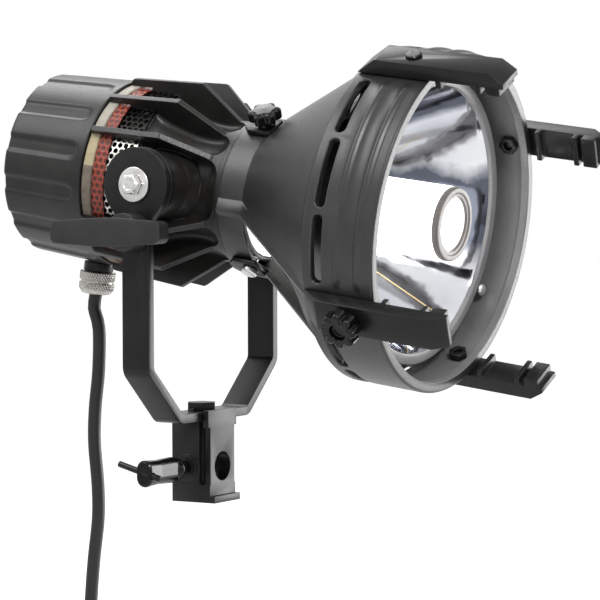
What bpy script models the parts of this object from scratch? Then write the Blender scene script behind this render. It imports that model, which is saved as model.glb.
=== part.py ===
"""A small daylight spotlight: finned lamp housing, reflector front, yoke and spigot receiver.

Metres, +Z up. The light points along -Y. The origin is the mouth of the spigot socket,
in the middle of the receiver block's underside.
"""
import math

import bmesh
import bpy
from mathutils import Euler, Matrix, Vector

for leftover in list(bpy.data.objects):
    bpy.data.objects.remove(leftover, do_unlink=True)

# Fits
GAP = 0.0003                  # between pieces that touch
EPS = 0.002                   # how far a cutter runs past what it cuts

# Receiver block and its clamp screw
BLOCK_WIDTH = 0.026
BLOCK_FRONT = -0.0125
BLOCK_BACK = 0.01175
BLOCK_TOP = 0.0442
FRONT_PLATE = 0.003
GROOVE_WIDTH = 0.0039
GROOVE_DEPTH = 0.0035
GROOVE_FLOOR = 0.0095
PLATE_NARROW = 0.0008         # how far the plate's sides stand in from the block
PLATE_HEAD_WIDTH = 0.0287
PLATE_HEAD_TOP = 0.0503
PLATE_HEAD_LOW = 0.041
FOOT_FRONT = -0.0156
FOOT_HEIGHT = 0.0037
SPIGOT_R = 0.008
SOCKET_DEPTH = 0.038
CROSS_HOLE_Z = 0.0193
CLAMP_Y = 0.002
CLAMP_Z = 0.019
CLAMP_BOSS_R = 0.0071
CLAMP_BOSS_REACH = 0.0022
CLAMP_SHAFT_R = 0.0032
GRIP_START = 0.025            # distances from the middle of the block, toward the hand
GRIP_END = 0.056
GRIP_R = 0.0072
GRIP_WAIST = 0.0030           # how much narrower the oval grip is across its waist
BAR_R = 0.00175
BAR_REACH = 0.0176
BAR_PLACE = 0.0535
BAR_SLOPE = math.radians(15)
SHOE_LENGTH = 0.0035
SHOE_CLEAR = 0.0004           # from the spigot to the open shoe

# Yoke
YOKE_OUTER = 0.0654
YOKE_THICK = 0.0048
STRIP_WIDTH = 0.0168
YOKE_BASE_HALF = 0.0343
YOKE_BEND_Z = 0.0729
YOKE_BEND_R = 0.009
TILT_AXIS_Z = 0.1724
EYE_R = 0.0198
TAPER_DROP = 0.021            # from the tilt axis down to where the arm is at full strip width
BASE_BOLT_R = 0.0036
BASE_BOLT_HEAD = 0.0145
BASE_BOLT_HEAD_H = 0.0043
BASE_BOLT_X = -0.0015
BASE_PIN_X = -0.0108
BASE_PIN_R = 0.0013
BASE_PIN_RISE = 0.0016
BASE_PIN_DEPTH = 0.003

# Tilt pivot and its lock
PIVOT_R = 0.004
PIVOT_HEX = 0.010
PIVOT_HEAD_H = 0.0045
WASHER_R = 0.0093
WASHER_THICK = 0.0016
DISC_R = EYE_R
DISC_THICK = 0.003
LEVER_DROP = 0.0249
LEVER_REAR = 0.045
LEVER_FRONT = 0.024
LEVER_HEIGHT = 0.0164
LEVER_TIP = 0.0112            # its height at the ends
LEVER_CORNER = 0.0035
LEVER_BOW = 0.2
LEVER_THICK = 0.009
LEVER_STANDOFF = 0.0046
LEVER_HUB_R = 0.010
STUD_R = 0.0034
STUD_INSIDE = 0.0022

# Head: distances forward of the tilt axis are positive, heights are radii from the lamp axis
HEAD_PITCH = math.radians(7.8)
WALL = 0.003
COLLAR_R = 0.0415             # outside of the reflector housing's collar, which slides on the neck
RING_R = 0.0505               # outside of the insulating ring between lamp housing and cap
NECK_R = COLLAR_R - 0.0055
NECK_FRONT = 0.049
FLANGE_R = COLLAR_R - 0.0020
FLANGE_FRONT = 0.0367
FLANGE_THICK = 0.004
NECK_FILLET = 0.003
WAIST_R = NECK_R - 0.0020
WAIST_PLACE = 0.020
WAIST_REAR = 0.008
WAIST_REAR_R = WAIST_R + 0.0012
SADDLE_R = 0.038
HIP_PLACE = -0.012
SHOULDER_R = RING_R - 0.0033
SHOULDER_PLACE = -0.0145
SHOULDER_END = -0.020
SLEEVE_R = RING_R - 0.0060
SLEEVE_WALL = 0.0025
SLEEVE_END = -0.060
FIN_HEEL_R = RING_R + 0.0040
FIN_R = FIN_HEEL_R + 0.0025
FIN_THICK = 0.003
FIN_BEND = 0.002
FIN_TOE = 0.026
FIN_TOE_R = COLLAR_R - 0.0028
FIN_HEEL = -0.0444
FIN_HEEL_CORNER = 0.0015
FIN_ROOT = 0.0004             # how far a fin's rear edge stands into the shoulder
FIN_STEP = 25
FIN_ROW = 6                   # fins above the pivots, and as many below
PIVOT_BOSS_R = 0.018
PIVOT_HOLE_DEPTH = 0.012
SCREEN_THICK = 0.0012
SCREEN_END = -0.0387
RED_BAND_START = -0.0313
RED_BAND_THICK = 0.0006
RING_START = -0.039
RING_END = -0.0449
CAP_FRONT_R = RING_R + 0.0014
CAP_BACK_R = CAP_FRONT_R - 0.0020
CAP_EDGE = -0.0966
CAP_BACK = -0.099
CAP_SEAT = 0.006
FLUTES = 14
FLUTE_R = 0.012
FLUTE_DEPTH = 0.0013
FLUTE_START = -0.050
CHASSIS_PLACE = -0.026
CHASSIS_THICK = 0.003
IGNITER = (0.046, 0.048, 0.040)

# Cable gland, cord and its connector
GLAND_PLACE = -0.062
GLAND_R = 0.00825
GLAND_BASE_H = 0.0050
GLAND_NUT_R = 0.0100
GLAND_NUT_H = 0.0127
GLAND_SHANK_R = 0.0065
CORD_R = 0.00365
CORD_BORE_R = 0.0030
CONNECTOR_R = 0.0135
CONNECTOR_L = 0.034
RELIEF_L = 0.014
INSERT_R = 0.0105
INSERT_L = 0.008

# Lamp, its glass and the socket
ARC_PLACE = 0.0695
BULB_R = 0.008
LAMP_STEM_R = 0.0045
LAMP_BASE_R = 0.011
LAMP_BASE_START = 0.012
LAMP_BASE_L = 0.015
SOCKET_R = 0.017
BEAKER_R = 0.0195
BEAKER_WALL = 0.002
LENS_EDGE = 0.001
BEAKER_START = 0.0223
BEAKER_END = 0.1525
RIM_L = 0.0035
RIM_INNER_R = 0.0144
LENS_CROWN = 0.002
HOLDER_LENGTH = 0.011

# Reflector housing
COLLAR_START = 0.037
COLLAR_END = 0.052
CONE_END = 0.1125
BARREL_R = 0.0884
CONE_R = BARREL_R - 0.0072
BARREL_START = 0.117
BARREL_INNER_R = BARREL_R - 0.0039
LIP_R = BARREL_INNER_R - 0.0020
LIP_DEPTH = 0.005
BARREL_FRONT = 0.157
WINDOW_ANGLE = 137
WINDOW_HALF = COLLAR_R * 0.523
WINDOW_START = 0.0525
WINDOW_END = 0.104
WINDOW_CORNER = 0.012
BAR_WIDTH = 0.0073
BAR_RISE = 0.0060
SLOT_PLACE = 0.125
SLOT_WIDTH = 0.0057
SLOT_SPAN = math.radians(23)
SLOT_STEP = 25.5
SLOTS_A_SIDE = 3
BEAD_PLACES = (0.1368, 0.1486)
BEAD_R = 0.0025
BEAD_RISE = 0.0013
BEAD_SPAN = math.radians(74)
POST_ANGLES = (119, -1, -129)
POST_R = BARREL_INNER_R - 0.0055
POST_THICK = 0.0054
POST_FRONT = 0.1387
POST_BACK = 0.104
POST_LEDGE = 0.010
POST_SCREW_DEPTH = 0.0075

# Reflector and bezel: the mirror is a parabola with its focus at the arc
REFLECTOR_START = 0.062
REFLECTOR_RIM = 0.1375
REFLECTOR_WALL = 0.0012
BEZEL_R = POST_R - 0.0030
REFLECTOR_RIM_R = BEZEL_R - 0.0005
MIRROR_R = REFLECTOR_RIM_R - 0.0052
MIRROR_DEPTH = REFLECTOR_RIM - ARC_PLACE
FOCAL = (math.hypot(MIRROR_DEPTH, MIRROR_R) - MIRROR_DEPTH) / 2
BEZEL_THICK = 0.0025
BEZEL_SCREW_R = 0.0036
BEZEL_SCREW_H = 0.0022
BEZEL_SHANK_R = 0.0014

# Accessory ears
KNOB_EAR = -120
LABEL_EAR = 150               # the barrel stays plain after this ear
EAR_ANGLES = (-30, KNOB_EAR, 60, LABEL_EAR)
EAR_WIDTH = 0.017
EAR_SEAT = BARREL_R + 0.00035
EAR_HEIGHT = 0.00825
EAR_TOP = EAR_SEAT + EAR_HEIGHT
EAR_TAIL = 0.117
EAR_TAIL_TOP = 0.128
EAR_FRONT = 0.1995
EAR_CHAMFER = 0.0075
EAR_LIP_R = EAR_SEAT - 0.00425
RIB_PLACES = ((0.1615, 0.1645), (0.1835, 0.1865), (0.1890, 0.1970))
EAR_SCREW_PLACE = 0.1465
EAR_SCREW_R = 0.0022
EAR_HEAD_R = 0.0042
EAR_HEAD_H = 0.0016
EAR_NUT = 0.009
EAR_NUT_H = 0.0035
EAR_KNOB_R = 0.0100
EAR_KNOB_LOBES = 8
EAR_KNOB_RISE = 0.0115
EAR_KNOB_TOP = EAR_TOP + EAR_KNOB_RISE
EAR_KNOB_H = 0.008
EAR_KNOB_HUB_R = 0.006
EAR_KNOB_RECESS = 0.003

# Collar clamp
CLAMP_ANGLES = (-30, -150, 90)
CLAMP_PLACE = 0.050
JAW_LEAD = 0.006              # how far the jaw reaches forward of its screw
JAW_TAPER = 0.004
BED_HEIGHT = 0.008            # how far out the cone is cut away round a jaw
POCKET_R = 0.011
SMALL_POCKET_R = 0.0065
POCKET_HEIGHT = 0.020
JAW_LENGTH = 0.018
JAW_WIDTH = 0.014
JAW_THICK = 0.0025
KNOB_R = 0.009
KNOB_LOBES = 6
KNOB_TOP = COLLAR_R + 0.0130
KNOB_H = 0.007
KNOB_STEM_R = 0.0048
CLAMP_STUD_R = 0.0024
CLAMP_HEAD_R = 0.0045
CLAMP_HEAD_H = 0.003

# Facets round a full turn
BIG_ROUND = 48
ROUND = 28
SMALL_ROUND = 14

UP = (0, 0, 0)
FORWARD = (math.pi / 2, 0, 0)     # turns a piece's own Z toward the front, -Y
NEAR_SIDE = (0, -math.pi / 2, 0)  # turns a piece's own Z toward -X
FAR_SIDE = (0, math.pi / 2, 0)    # turns a piece's own Z toward +X
PLANES = {
    "XY": Matrix.Identity(4),
    "XZ": Matrix.Rotation(math.pi / 2, 4, "X"),
    "YZ": Euler((math.pi / 2, 0, math.pi / 2)).to_matrix().to_4x4(),
}

parts = bpy.data.collections.new("hmi_light")
cutters = bpy.data.collections.new("cutters")
bpy.context.scene.collection.children.link(parts)
bpy.context.scene.collection.children.link(cutters)


def finish(name, colour, roughness, metallic=0.0):
    """A plain Principled material."""
    made = bpy.data.materials.new(name)
    made.use_nodes = True
    shader = made.node_tree.nodes["Principled BSDF"]
    shader.inputs["Base Color"].default_value = (*colour, 1)
    shader.inputs["Roughness"].default_value = roughness
    shader.inputs["Metallic"].default_value = metallic
    return made


CASTING = finish("black_casting", (0.030, 0.029, 0.028), 0.45, 0.2)
COATED = finish("black_coating", (0.018, 0.018, 0.019), 0.50, 0.1)
GLOSSY = finish("gloss_black", (0.010, 0.010, 0.010), 0.22)
TEXTURED = finish("textured_black", (0.020, 0.020, 0.020), 0.62)
ANODISED = finish("grey_anodised", (0.100, 0.098, 0.105), 0.42, 0.6)
BRIGHT = finish("bright_metal", (0.62, 0.61, 0.59), 0.28, 1.0)
MIRROR = finish("mirror", (0.88, 0.89, 0.91), 0.06, 1.0)
FROSTED = finish("frosted_glass", (0.94, 0.94, 0.92), 0.35)
CLEAR = finish("clear_glass", (0.85, 0.87, 0.88), 0.05)
CERAMIC = finish("ceramic", (0.80, 0.76, 0.66), 0.55)
RED = finish("red_band", (0.55, 0.07, 0.03), 0.55)
RUBBER = finish("black_rubber", (0.025, 0.025, 0.026), 0.70)
PLASTIC = finish("grey_plastic", (0.22, 0.22, 0.23), 0.50)


def guide(name, parent=None, location=(0, 0, 0), rotation=UP):
    """An empty that carries pieces and marks a joint's axis."""
    made = bpy.data.objects.new(name, None)
    parts.objects.link(made)
    made.parent = parent
    made.location = location
    made.rotation_euler = rotation
    return made


def piece(made, material, parent=None, location=(0, 0, 0), rotation=UP):
    """Gives a shape its material and its place among the parts."""
    made.data.materials.append(material)
    parts.objects.link(made)
    made.parent = parent
    made.location = location
    made.rotation_euler = rotation
    return made


def tool(made, parent=None, location=(0, 0, 0), rotation=UP):
    """Keeps a shape as a hidden cutter, or as a lump that is joined to a piece."""
    cutters.objects.link(made)
    made.hide_render = True
    made.display_type = "WIRE"
    made.parent = parent
    made.location = location
    made.rotation_euler = rotation
    return made


def combine(target, other, operation):
    step = target.modifiers.new(operation.lower(), "BOOLEAN")
    step.operation = operation
    step.object = other
    return target


def cut(target, other):
    return combine(target, other, "DIFFERENCE")


def join(target, other):
    return combine(target, other, "UNION")


def soften(target, width, segments=2):
    step = target.modifiers.new("soften", "BEVEL")
    step.width = width
    step.segments = segments
    step.limit_method = "ANGLE"
    step.angle_limit = math.radians(40)
    return target


def turned(name, profile, steps=BIG_ROUND, ring=True):
    """Turns a profile of (height, radius) points about Z.

    The points run down the outer side. A ring's profile closes on itself, and a solid
    one starts and ends on the axis.
    """
    count = len(profile)
    edges = [(i, i + 1) for i in range(count - 1)]
    if ring:
        edges.append((count - 1, 0))
    mesh = bpy.data.meshes.new(name)
    mesh.from_pydata([(radius, 0, height) for height, radius in profile], edges, [])
    made = bpy.data.objects.new(name, mesh)
    step = made.modifiers.new("turn", "SCREW")
    step.axis = "Z"
    step.steps = steps
    step.render_steps = steps
    step.use_merge_vertices = True
    step.merge_threshold = 0.00001
    return made


def from_bmesh(name, shape):
    mesh = bpy.data.meshes.new(name)
    shape.to_mesh(mesh)
    shape.free()
    return bpy.data.objects.new(name, mesh)


def block(name, size, centre=(0, 0, 0)):
    shape = bmesh.new()
    place = Matrix.Translation(centre) @ Matrix.Diagonal((*size, 1))
    bmesh.ops.create_cube(shape, size=1, matrix=place)
    return from_bmesh(name, shape)


def rod(name, radius, low, high, sides=24, low_radius=None):
    """A cylinder, cone or hexagon along Z from low to high."""
    shape = bmesh.new()
    bmesh.ops.create_cone(
        shape,
        cap_ends=True,
        segments=sides,
        radius1=radius if low_radius is None else low_radius,
        radius2=radius,
        depth=high - low,
        matrix=Matrix.Translation((0, 0, (low + high) / 2)),
    )
    made = from_bmesh(name, shape)
    if sides > 8:
        made.data.shade_smooth()
        made.data.set_sharp_from_angle(angle=math.radians(40))
    return made


def mesh_from_curve(name, curve, move):
    """The curve's solid as a mesh, with its caps welded on."""
    made = bpy.data.objects.new(name, curve)
    bpy.context.scene.collection.objects.link(made)
    solid = made.evaluated_get(bpy.context.evaluated_depsgraph_get())
    mesh = bpy.data.meshes.new_from_object(solid)
    bpy.data.objects.remove(made)
    shape = bmesh.new()
    shape.from_mesh(mesh)
    bmesh.ops.remove_doubles(shape, verts=shape.verts, dist=0.000001)
    shape.to_mesh(mesh)
    shape.free()
    mesh.transform(move)
    mesh.name = name
    return bpy.data.objects.new(name, mesh)


def prism(name, outline, low, high, plane="XY"):
    """A flat outline made solid from low to high across its plane."""
    curve = bpy.data.curves.new(name, "CURVE")
    curve.dimensions = "2D"
    curve.fill_mode = "BOTH"
    curve.extrude = (high - low) / 2
    line = curve.splines.new("POLY")
    line.points.add(len(outline) - 1)
    for point, (across, along) in zip(line.points, outline):
        point.co = (across, along, 0, 1)
    line.use_cyclic_u = True
    lift = Matrix.Translation((0, 0, (low + high) / 2))
    return mesh_from_curve(name, curve, PLANES[plane] @ lift)


def wire(name, points, radius, sides=2):
    """A round bar along points, as a curve."""
    curve = bpy.data.curves.new(name, "CURVE")
    curve.dimensions = "3D"
    curve.bevel_depth = radius
    curve.bevel_resolution = sides
    curve.use_fill_caps = True
    line = curve.splines.new("POLY")
    line.points.add(len(points) - 1)
    for point, place in zip(line.points, points):
        point.co = (*place, 1)
    return curve


def rounded(corners, steps=5):
    """An outline whose corners (x, y, radius) are rounded by arcs."""
    outline = []
    for index, (x, y, radius) in enumerate(corners):
        here = Vector((x, y))
        if radius == 0:
            outline.append((x, y))
            continue
        before = Vector(corners[index - 1][:2]) - here
        after = Vector(corners[(index + 1) % len(corners)][:2]) - here
        before.normalize()
        after.normalize()
        half = before.angle(after) / 2
        centre = here + (before + after).normalized() * radius / math.sin(half)
        start = here + before * radius / math.tan(half) - centre
        sweep = start.angle_signed(here + after * radius / math.tan(half) - centre)
        for step in range(steps + 1):
            turn = Matrix.Rotation(-sweep * step / steps, 2)
            outline.append(tuple(centre + turn @ start))
    return outline


def lobed_outline(radius, lobes, depth, count=8):
    """A star knob's outline: rounded lobes around a circle."""
    outline = []
    for i in range(lobes * count):
        a = 2 * math.pi * i / (lobes * count)
        r = radius - depth / 2 + depth / 2 * math.cos(lobes * a)
        outline.append((r * math.cos(a), r * math.sin(a)))
    return outline


def facing_back(outline):
    """(forward, height) points as (y, z) points."""
    return [(-forward, height) for forward, height in outline]


# Receiver block
def receiver_block():
    half = BLOCK_WIDTH / 2
    side = [
        (BLOCK_BACK, 0),
        (BLOCK_BACK, BLOCK_TOP),
        (BLOCK_FRONT + FRONT_PLATE, BLOCK_TOP),
        (BLOCK_FRONT + FRONT_PLATE, PLATE_HEAD_TOP),
        (BLOCK_FRONT, PLATE_HEAD_TOP),
        (BLOCK_FRONT, FOOT_HEIGHT),
        (FOOT_FRONT, FOOT_HEIGHT),
        (FOOT_FRONT, 0),
    ]
    body = piece(prism("receiver_block", side, -half, half, "YZ"), COATED)
    head_z = (PLATE_HEAD_LOW + PLATE_HEAD_TOP) / 2
    head_y = BLOCK_FRONT + FRONT_PLATE / 2
    head = block(
        "plate_head",
        (PLATE_HEAD_WIDTH, FRONT_PLATE, PLATE_HEAD_TOP - PLATE_HEAD_LOW),
        (0, head_y, head_z),
    )
    join(body, tool(head))
    groove_y = BLOCK_FRONT + FRONT_PLATE + GROOVE_WIDTH / 2
    groove_top = BLOCK_TOP + EPS
    for side_sign in (-1, 1):
        outline = rounded([
            (groove_y - GROOVE_WIDTH / 2, GROOVE_FLOOR, GROOVE_WIDTH * 0.49),
            (groove_y + GROOVE_WIDTH / 2, GROOVE_FLOOR, GROOVE_WIDTH * 0.49),
            (groove_y + GROOVE_WIDTH / 2, groove_top, 0),
            (groove_y - GROOVE_WIDTH / 2, groove_top, 0),
        ])
        near = side_sign * (half - GROOVE_DEPTH)
        far = side_sign * (half + EPS)
        cut(body, tool(prism("side_groove", outline, min(near, far), max(near, far), "YZ")))
        narrow = block(
            "plate_narrowing",
            (PLATE_NARROW + EPS, FRONT_PLATE + GROOVE_WIDTH, PLATE_HEAD_LOW - GROOVE_FLOOR),
            (side_sign * (half - PLATE_NARROW + (PLATE_NARROW + EPS) / 2),
             groove_y - (FRONT_PLATE + GROOVE_WIDTH) / 2,
             (PLATE_HEAD_LOW + GROOVE_FLOOR) / 2),
        )
        cut(body, tool(narrow))
    cut(body, tool(rod("spigot_socket", SPIGOT_R, -EPS, SOCKET_DEPTH)))
    cross = rod("cross_hole", SPIGOT_R, -BLOCK_BACK - EPS, -FOOT_FRONT + EPS)
    cut(body, tool(cross, location=(0, 0, CROSS_HOLE_Z), rotation=FORWARD))
    boss = rod("clamp_boss", CLAMP_BOSS_R, half - EPS, half + CLAMP_BOSS_REACH, 24)
    join(body, tool(boss, location=(0, CLAMP_Y, CLAMP_Z), rotation=NEAR_SIDE))
    thread = rod("clamp_hole", CLAMP_SHAFT_R + GAP, 0, half + CLAMP_BOSS_REACH + EPS, 20)
    cut(body, tool(thread, location=(0, CLAMP_Y, CLAMP_Z), rotation=NEAR_SIDE))
    bolt_hole = rod("base_bolt_hole", BASE_BOLT_R + GAP, SOCKET_DEPTH - EPS, BLOCK_TOP + EPS, 20)
    cut(body, tool(bolt_hole, location=(BASE_BOLT_X, 0, 0)))
    pin_low = BLOCK_TOP - BASE_PIN_DEPTH
    pin_hole = rod("base_pin_hole", BASE_PIN_R + GAP, pin_low, BLOCK_TOP + EPS, 12)
    cut(body, tool(pin_hole, location=(BASE_PIN_X, 0, 0)))
    return body


def clamp_screw():
    """The T screw that holds the spigot, turned by its grip and cross bar."""
    axis = guide("clamp_screw_axis", None, (0, CLAMP_Y, CLAMP_Z), NEAR_SIDE)
    shoe_end = SPIGOT_R + SHOE_CLEAR
    shaft_start = shoe_end + SHOE_LENGTH + GAP
    screw = rod("clamp_screw", CLAMP_SHAFT_R, shaft_start, GRIP_START + EPS, 20)
    piece(screw, GLOSSY, axis)
    grip = prism(
        "grip",
        lobed_outline(GRIP_R, 2, GRIP_WAIST, 12),
        GRIP_START,
        GRIP_END,
    )
    join(screw, tool(grip, axis))
    bore = rod("bar_hole", BAR_R + GAP, -GRIP_R - EPS, GRIP_R + EPS, 12)
    bar_turn = (math.pi / 2 + BAR_SLOPE, 0, 0)
    bar_axis = guide("bar_axis", None, (-BAR_PLACE, CLAMP_Y, CLAMP_Z), bar_turn)
    cut(screw, tool(bore, bar_axis))
    bar = rod("tommy_bar", BAR_R, -BAR_REACH, GRIP_R + 0.0025, 12)
    piece(bar, GLOSSY, bar_axis)
    shoe = rod("clamp_shoe", CLAMP_SHAFT_R - GAP, shoe_end, shoe_end + SHOE_LENGTH, 16)
    piece(shoe, BRIGHT, axis)


# Yoke
def yoke():
    outer_low = BLOCK_TOP + GAP
    slope = Vector((YOKE_OUTER - YOKE_BASE_HALF, YOKE_BEND_Z - outer_low)).normalized()
    rise = (1 - slope.x) / slope.y * YOKE_THICK
    run = (1 - slope.y) / slope.x * YOKE_THICK
    inner = YOKE_OUTER - YOKE_THICK
    top = TILT_AXIS_Z + EYE_R + EPS
    bend = YOKE_BEND_R
    right = [
        (YOKE_BASE_HALF, outer_low, bend),
        (YOKE_OUTER, YOKE_BEND_Z, bend),
        (YOKE_OUTER, top, 0),
        (inner, top, 0),
        (inner, YOKE_BEND_Z + run, bend - YOKE_THICK),
        (YOKE_BASE_HALF - rise, outer_low + YOKE_THICK, bend - YOKE_THICK),
    ]
    left = [(-x, z, radius) for x, z, radius in reversed(right)]
    strap = prism("yoke", rounded(right + left), -EYE_R - EPS, EYE_R + EPS, "XZ")
    body = piece(strap, COATED)
    drop = TILT_AXIS_Z - TAPER_DROP
    half = STRIP_WIDTH / 2
    reach = math.hypot(half, TAPER_DROP)
    tangent = math.atan2(half, TAPER_DROP) - math.asin(EYE_R / reach)
    arc = [tangent + (math.pi - 2 * tangent) * i / 20 for i in range(21)]
    side = [(EYE_R * math.cos(a), TILT_AXIS_Z + EYE_R * math.sin(a)) for a in arc]
    side += [(-half, drop), (-half, outer_low - EPS), (half, outer_low - EPS), (half, drop)]
    width = YOKE_OUTER + EPS
    combine(body, tool(prism("arm_shape", side, -width, width, "YZ")), "INTERSECT")
    bore = rod("pivot_bore", PIVOT_R + GAP, -width, width, 20)
    cut(body, tool(bore, location=(0, 0, TILT_AXIS_Z), rotation=FAR_SIDE))
    stud_bore = rod("stud_bore", STUD_R + GAP, inner - EPS, width, 20)
    lever_z = TILT_AXIS_Z - LEVER_DROP
    cut(body, tool(stud_bore, location=(0, 0, lever_z), rotation=NEAR_SIDE))
    base_top = outer_low + YOKE_THICK
    bolt_hole = rod("yoke_bolt_hole", BASE_BOLT_R + GAP, outer_low - EPS, base_top + EPS, 20)
    cut(body, tool(bolt_hole, location=(BASE_BOLT_X, 0, 0)))
    pin_hole = rod("yoke_pin_hole", BASE_PIN_R + GAP, outer_low - EPS, base_top + EPS, 12)
    cut(body, tool(pin_hole, location=(BASE_PIN_X, 0, 0)))
    return base_top


def base_fasteners(base_top):
    under_head = base_top + GAP
    head_r = BASE_BOLT_HEAD / 2 / math.cos(math.pi / 6)
    bolt = rod("base_bolt", head_r, under_head, under_head + BASE_BOLT_HEAD_H, 6)
    piece(bolt, COATED, location=(BASE_BOLT_X, 0, 0))
    shank = rod("base_bolt_shank", BASE_BOLT_R, SOCKET_DEPTH + 0.0005, under_head + 0.001, 20)
    join(bolt, tool(shank, location=(BASE_BOLT_X, 0, 0)))
    pin_low = BLOCK_TOP - BASE_PIN_DEPTH + GAP
    pin = rod("base_pin", BASE_PIN_R, pin_low, base_top + BASE_PIN_RISE, 12)
    piece(pin, COATED, location=(BASE_PIN_X, 0, 0))


def pivot_side(word, turn, head):
    """Friction disc, washer and bolt at one end of the tilt axis."""
    outside = YOKE_OUTER
    axis = guide("pivot_" + word, None, (0, 0, TILT_AXIS_Z), turn)
    washer_low = outside + GAP
    washer_top = washer_low + WASHER_THICK
    washer = turned(
        "pivot_washer_" + word,
        [(washer_top, WASHER_R), (washer_low, WASHER_R),
         (washer_low, PIVOT_R + GAP), (washer_top, PIVOT_R + GAP)],
        ROUND,
    )
    piece(washer, BRIGHT, axis)
    bolt_low = washer_top + GAP
    hex_r = PIVOT_HEX / 2 / math.cos(math.pi / 6)
    bolt = rod("pivot_bolt_" + word, hex_r, bolt_low, bolt_low + PIVOT_HEAD_H, 6)
    piece(bolt, BRIGHT, axis)
    shank_end = YOKE_OUTER - YOKE_THICK - DISC_THICK - 0.010
    join(bolt, tool(rod("pivot_shank", PIVOT_R, shank_end, bolt_low + 0.001, 20), axis))
    disc_top = YOKE_OUTER - YOKE_THICK - GAP
    disc = turned(
        "friction_disc_" + word,
        [(disc_top, DISC_R), (disc_top - DISC_THICK, DISC_R),
         (disc_top - DISC_THICK, PIVOT_R + GAP), (disc_top, PIVOT_R + GAP)],
        ROUND,
    )
    piece(disc, COATED, head, (0, 0, 0), turn)
    return disc_top - DISC_THICK - GAP


def tilt_lever():
    """The lever that locks the tilt, on its stud in the near arm."""
    axis = guide("lever_axis", None, (0, 0, TILT_AXIS_Z - LEVER_DROP))
    face = YOKE_OUTER + LEVER_STANDOFF
    half = LEVER_HEIGHT / 2
    tip = LEVER_TIP / 2
    middle = (LEVER_REAR - LEVER_FRONT) / 2
    bar = rounded([
        (-LEVER_FRONT, -tip, LEVER_CORNER),
        (middle, -half, LEVER_BOW),
        (LEVER_REAR, -tip, LEVER_CORNER),
        (LEVER_REAR, tip, LEVER_CORNER),
        (middle, half, LEVER_BOW),
        (-LEVER_FRONT, tip, LEVER_CORNER),
    ])
    lever = prism("tilt_lever", bar, -face - LEVER_THICK, -face, "YZ")
    piece(lever, TEXTURED, axis)
    hub_low = YOKE_OUTER + GAP
    hub = rod("lever_hub", LEVER_HUB_R, hub_low, face + LEVER_THICK - 0.001, 28)
    join(lever, tool(hub, axis, rotation=NEAR_SIDE))
    stud_end = face + LEVER_THICK / 2
    bore = rod("lever_bore", STUD_R + GAP, 0, stud_end + GAP, 20)
    cut(lever, tool(bore, axis, rotation=NEAR_SIDE))
    soften(lever, 0.0016, 1)
    stud_start = YOKE_OUTER - YOKE_THICK - STUD_INSIDE
    stud = rod("lever_stud", STUD_R, stud_start, stud_end, 20)
    piece(stud, BRIGHT, axis, rotation=NEAR_SIDE)


# Lamp housing
CORE = (
    (NECK_FRONT, NECK_R),
    (FLANGE_FRONT, NECK_R),
    (FLANGE_FRONT, FLANGE_R),
    (FLANGE_FRONT - FLANGE_THICK, FLANGE_R),
    (FLANGE_FRONT - FLANGE_THICK - NECK_FILLET, NECK_R),
    (WAIST_PLACE, WAIST_R),
    (WAIST_REAR, WAIST_REAR_R),
    (0, SADDLE_R),
    (HIP_PLACE, SHOULDER_R - WALL),
    (SHOULDER_PLACE, SHOULDER_R),
    (SHOULDER_END, SHOULDER_R),
    (SHOULDER_END, SLEEVE_R),
    (SLEEVE_END, SLEEVE_R),
)


def fin_angles():
    """Two even rows of fins, about the top and about the bottom."""
    row = [FIN_STEP * (i - (FIN_ROW - 1) / 2) for i in range(FIN_ROW)]
    return row + [180 + angle for angle in row]


def lamp_housing(head, boss_face):
    sleeve_in = SLEEVE_R - SLEEVE_WALL
    inside = [
        (SLEEVE_END, sleeve_in),
        (SHOULDER_PLACE, sleeve_in),
        (0, SADDLE_R - WALL),
        (WAIST_REAR, WAIST_REAR_R - WALL),
        (WAIST_PLACE, WAIST_R - WALL),
        (FLANGE_FRONT - FLANGE_THICK, NECK_R - WALL),
        (NECK_FRONT, NECK_R - WALL),
    ]
    core = turned("lamp_housing", list(CORE) + inside)
    body = piece(core, CASTING, head, rotation=FORWARD)
    over_ring = RING_R + GAP
    over_screen = SHOULDER_R + SCREEN_THICK + 2 * GAP
    web_step = RED_BAND_START + GAP
    fin_rear = SHOULDER_PLACE + FIN_ROOT
    for angle in fin_angles():
        outline = [
            (FIN_TOE + 0.001, WAIST_R),
            (FIN_TOE, FIN_TOE_R),
            (FIN_BEND, FIN_R),
            (FIN_HEEL + FIN_HEEL_CORNER, FIN_HEEL_R),
            (FIN_HEEL, FIN_HEEL_R - FIN_HEEL_CORNER),
            (FIN_HEEL, over_ring),
            (web_step, over_ring),
            (web_step, over_screen),
            (fin_rear, over_screen),
            (fin_rear, SHOULDER_R - WALL / 2),
            (0, SADDLE_R - WALL / 2),
            (WAIST_REAR, WAIST_REAR_R - WALL / 2),
            (WAIST_PLACE, WAIST_R - WALL / 2),
        ]
        fin = prism("fin", facing_back(outline), -FIN_THICK / 2, FIN_THICK / 2, "YZ")
        join(body, tool(fin, head, rotation=(0, math.radians(angle), 0)))
    for turn in (NEAR_SIDE, FAR_SIDE):
        boss = rod("pivot_boss", PIVOT_BOSS_R, SADDLE_R - 0.0015, boss_face, ROUND)
        join(body, tool(boss, head, rotation=turn))
    for turn in (NEAR_SIDE, FAR_SIDE):
        hole = rod("pivot_hole", PIVOT_R + GAP, boss_face - PIVOT_HOLE_DEPTH, boss_face + EPS, 20)
        cut(body, tool(hole, head, rotation=turn))
    return body


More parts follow.
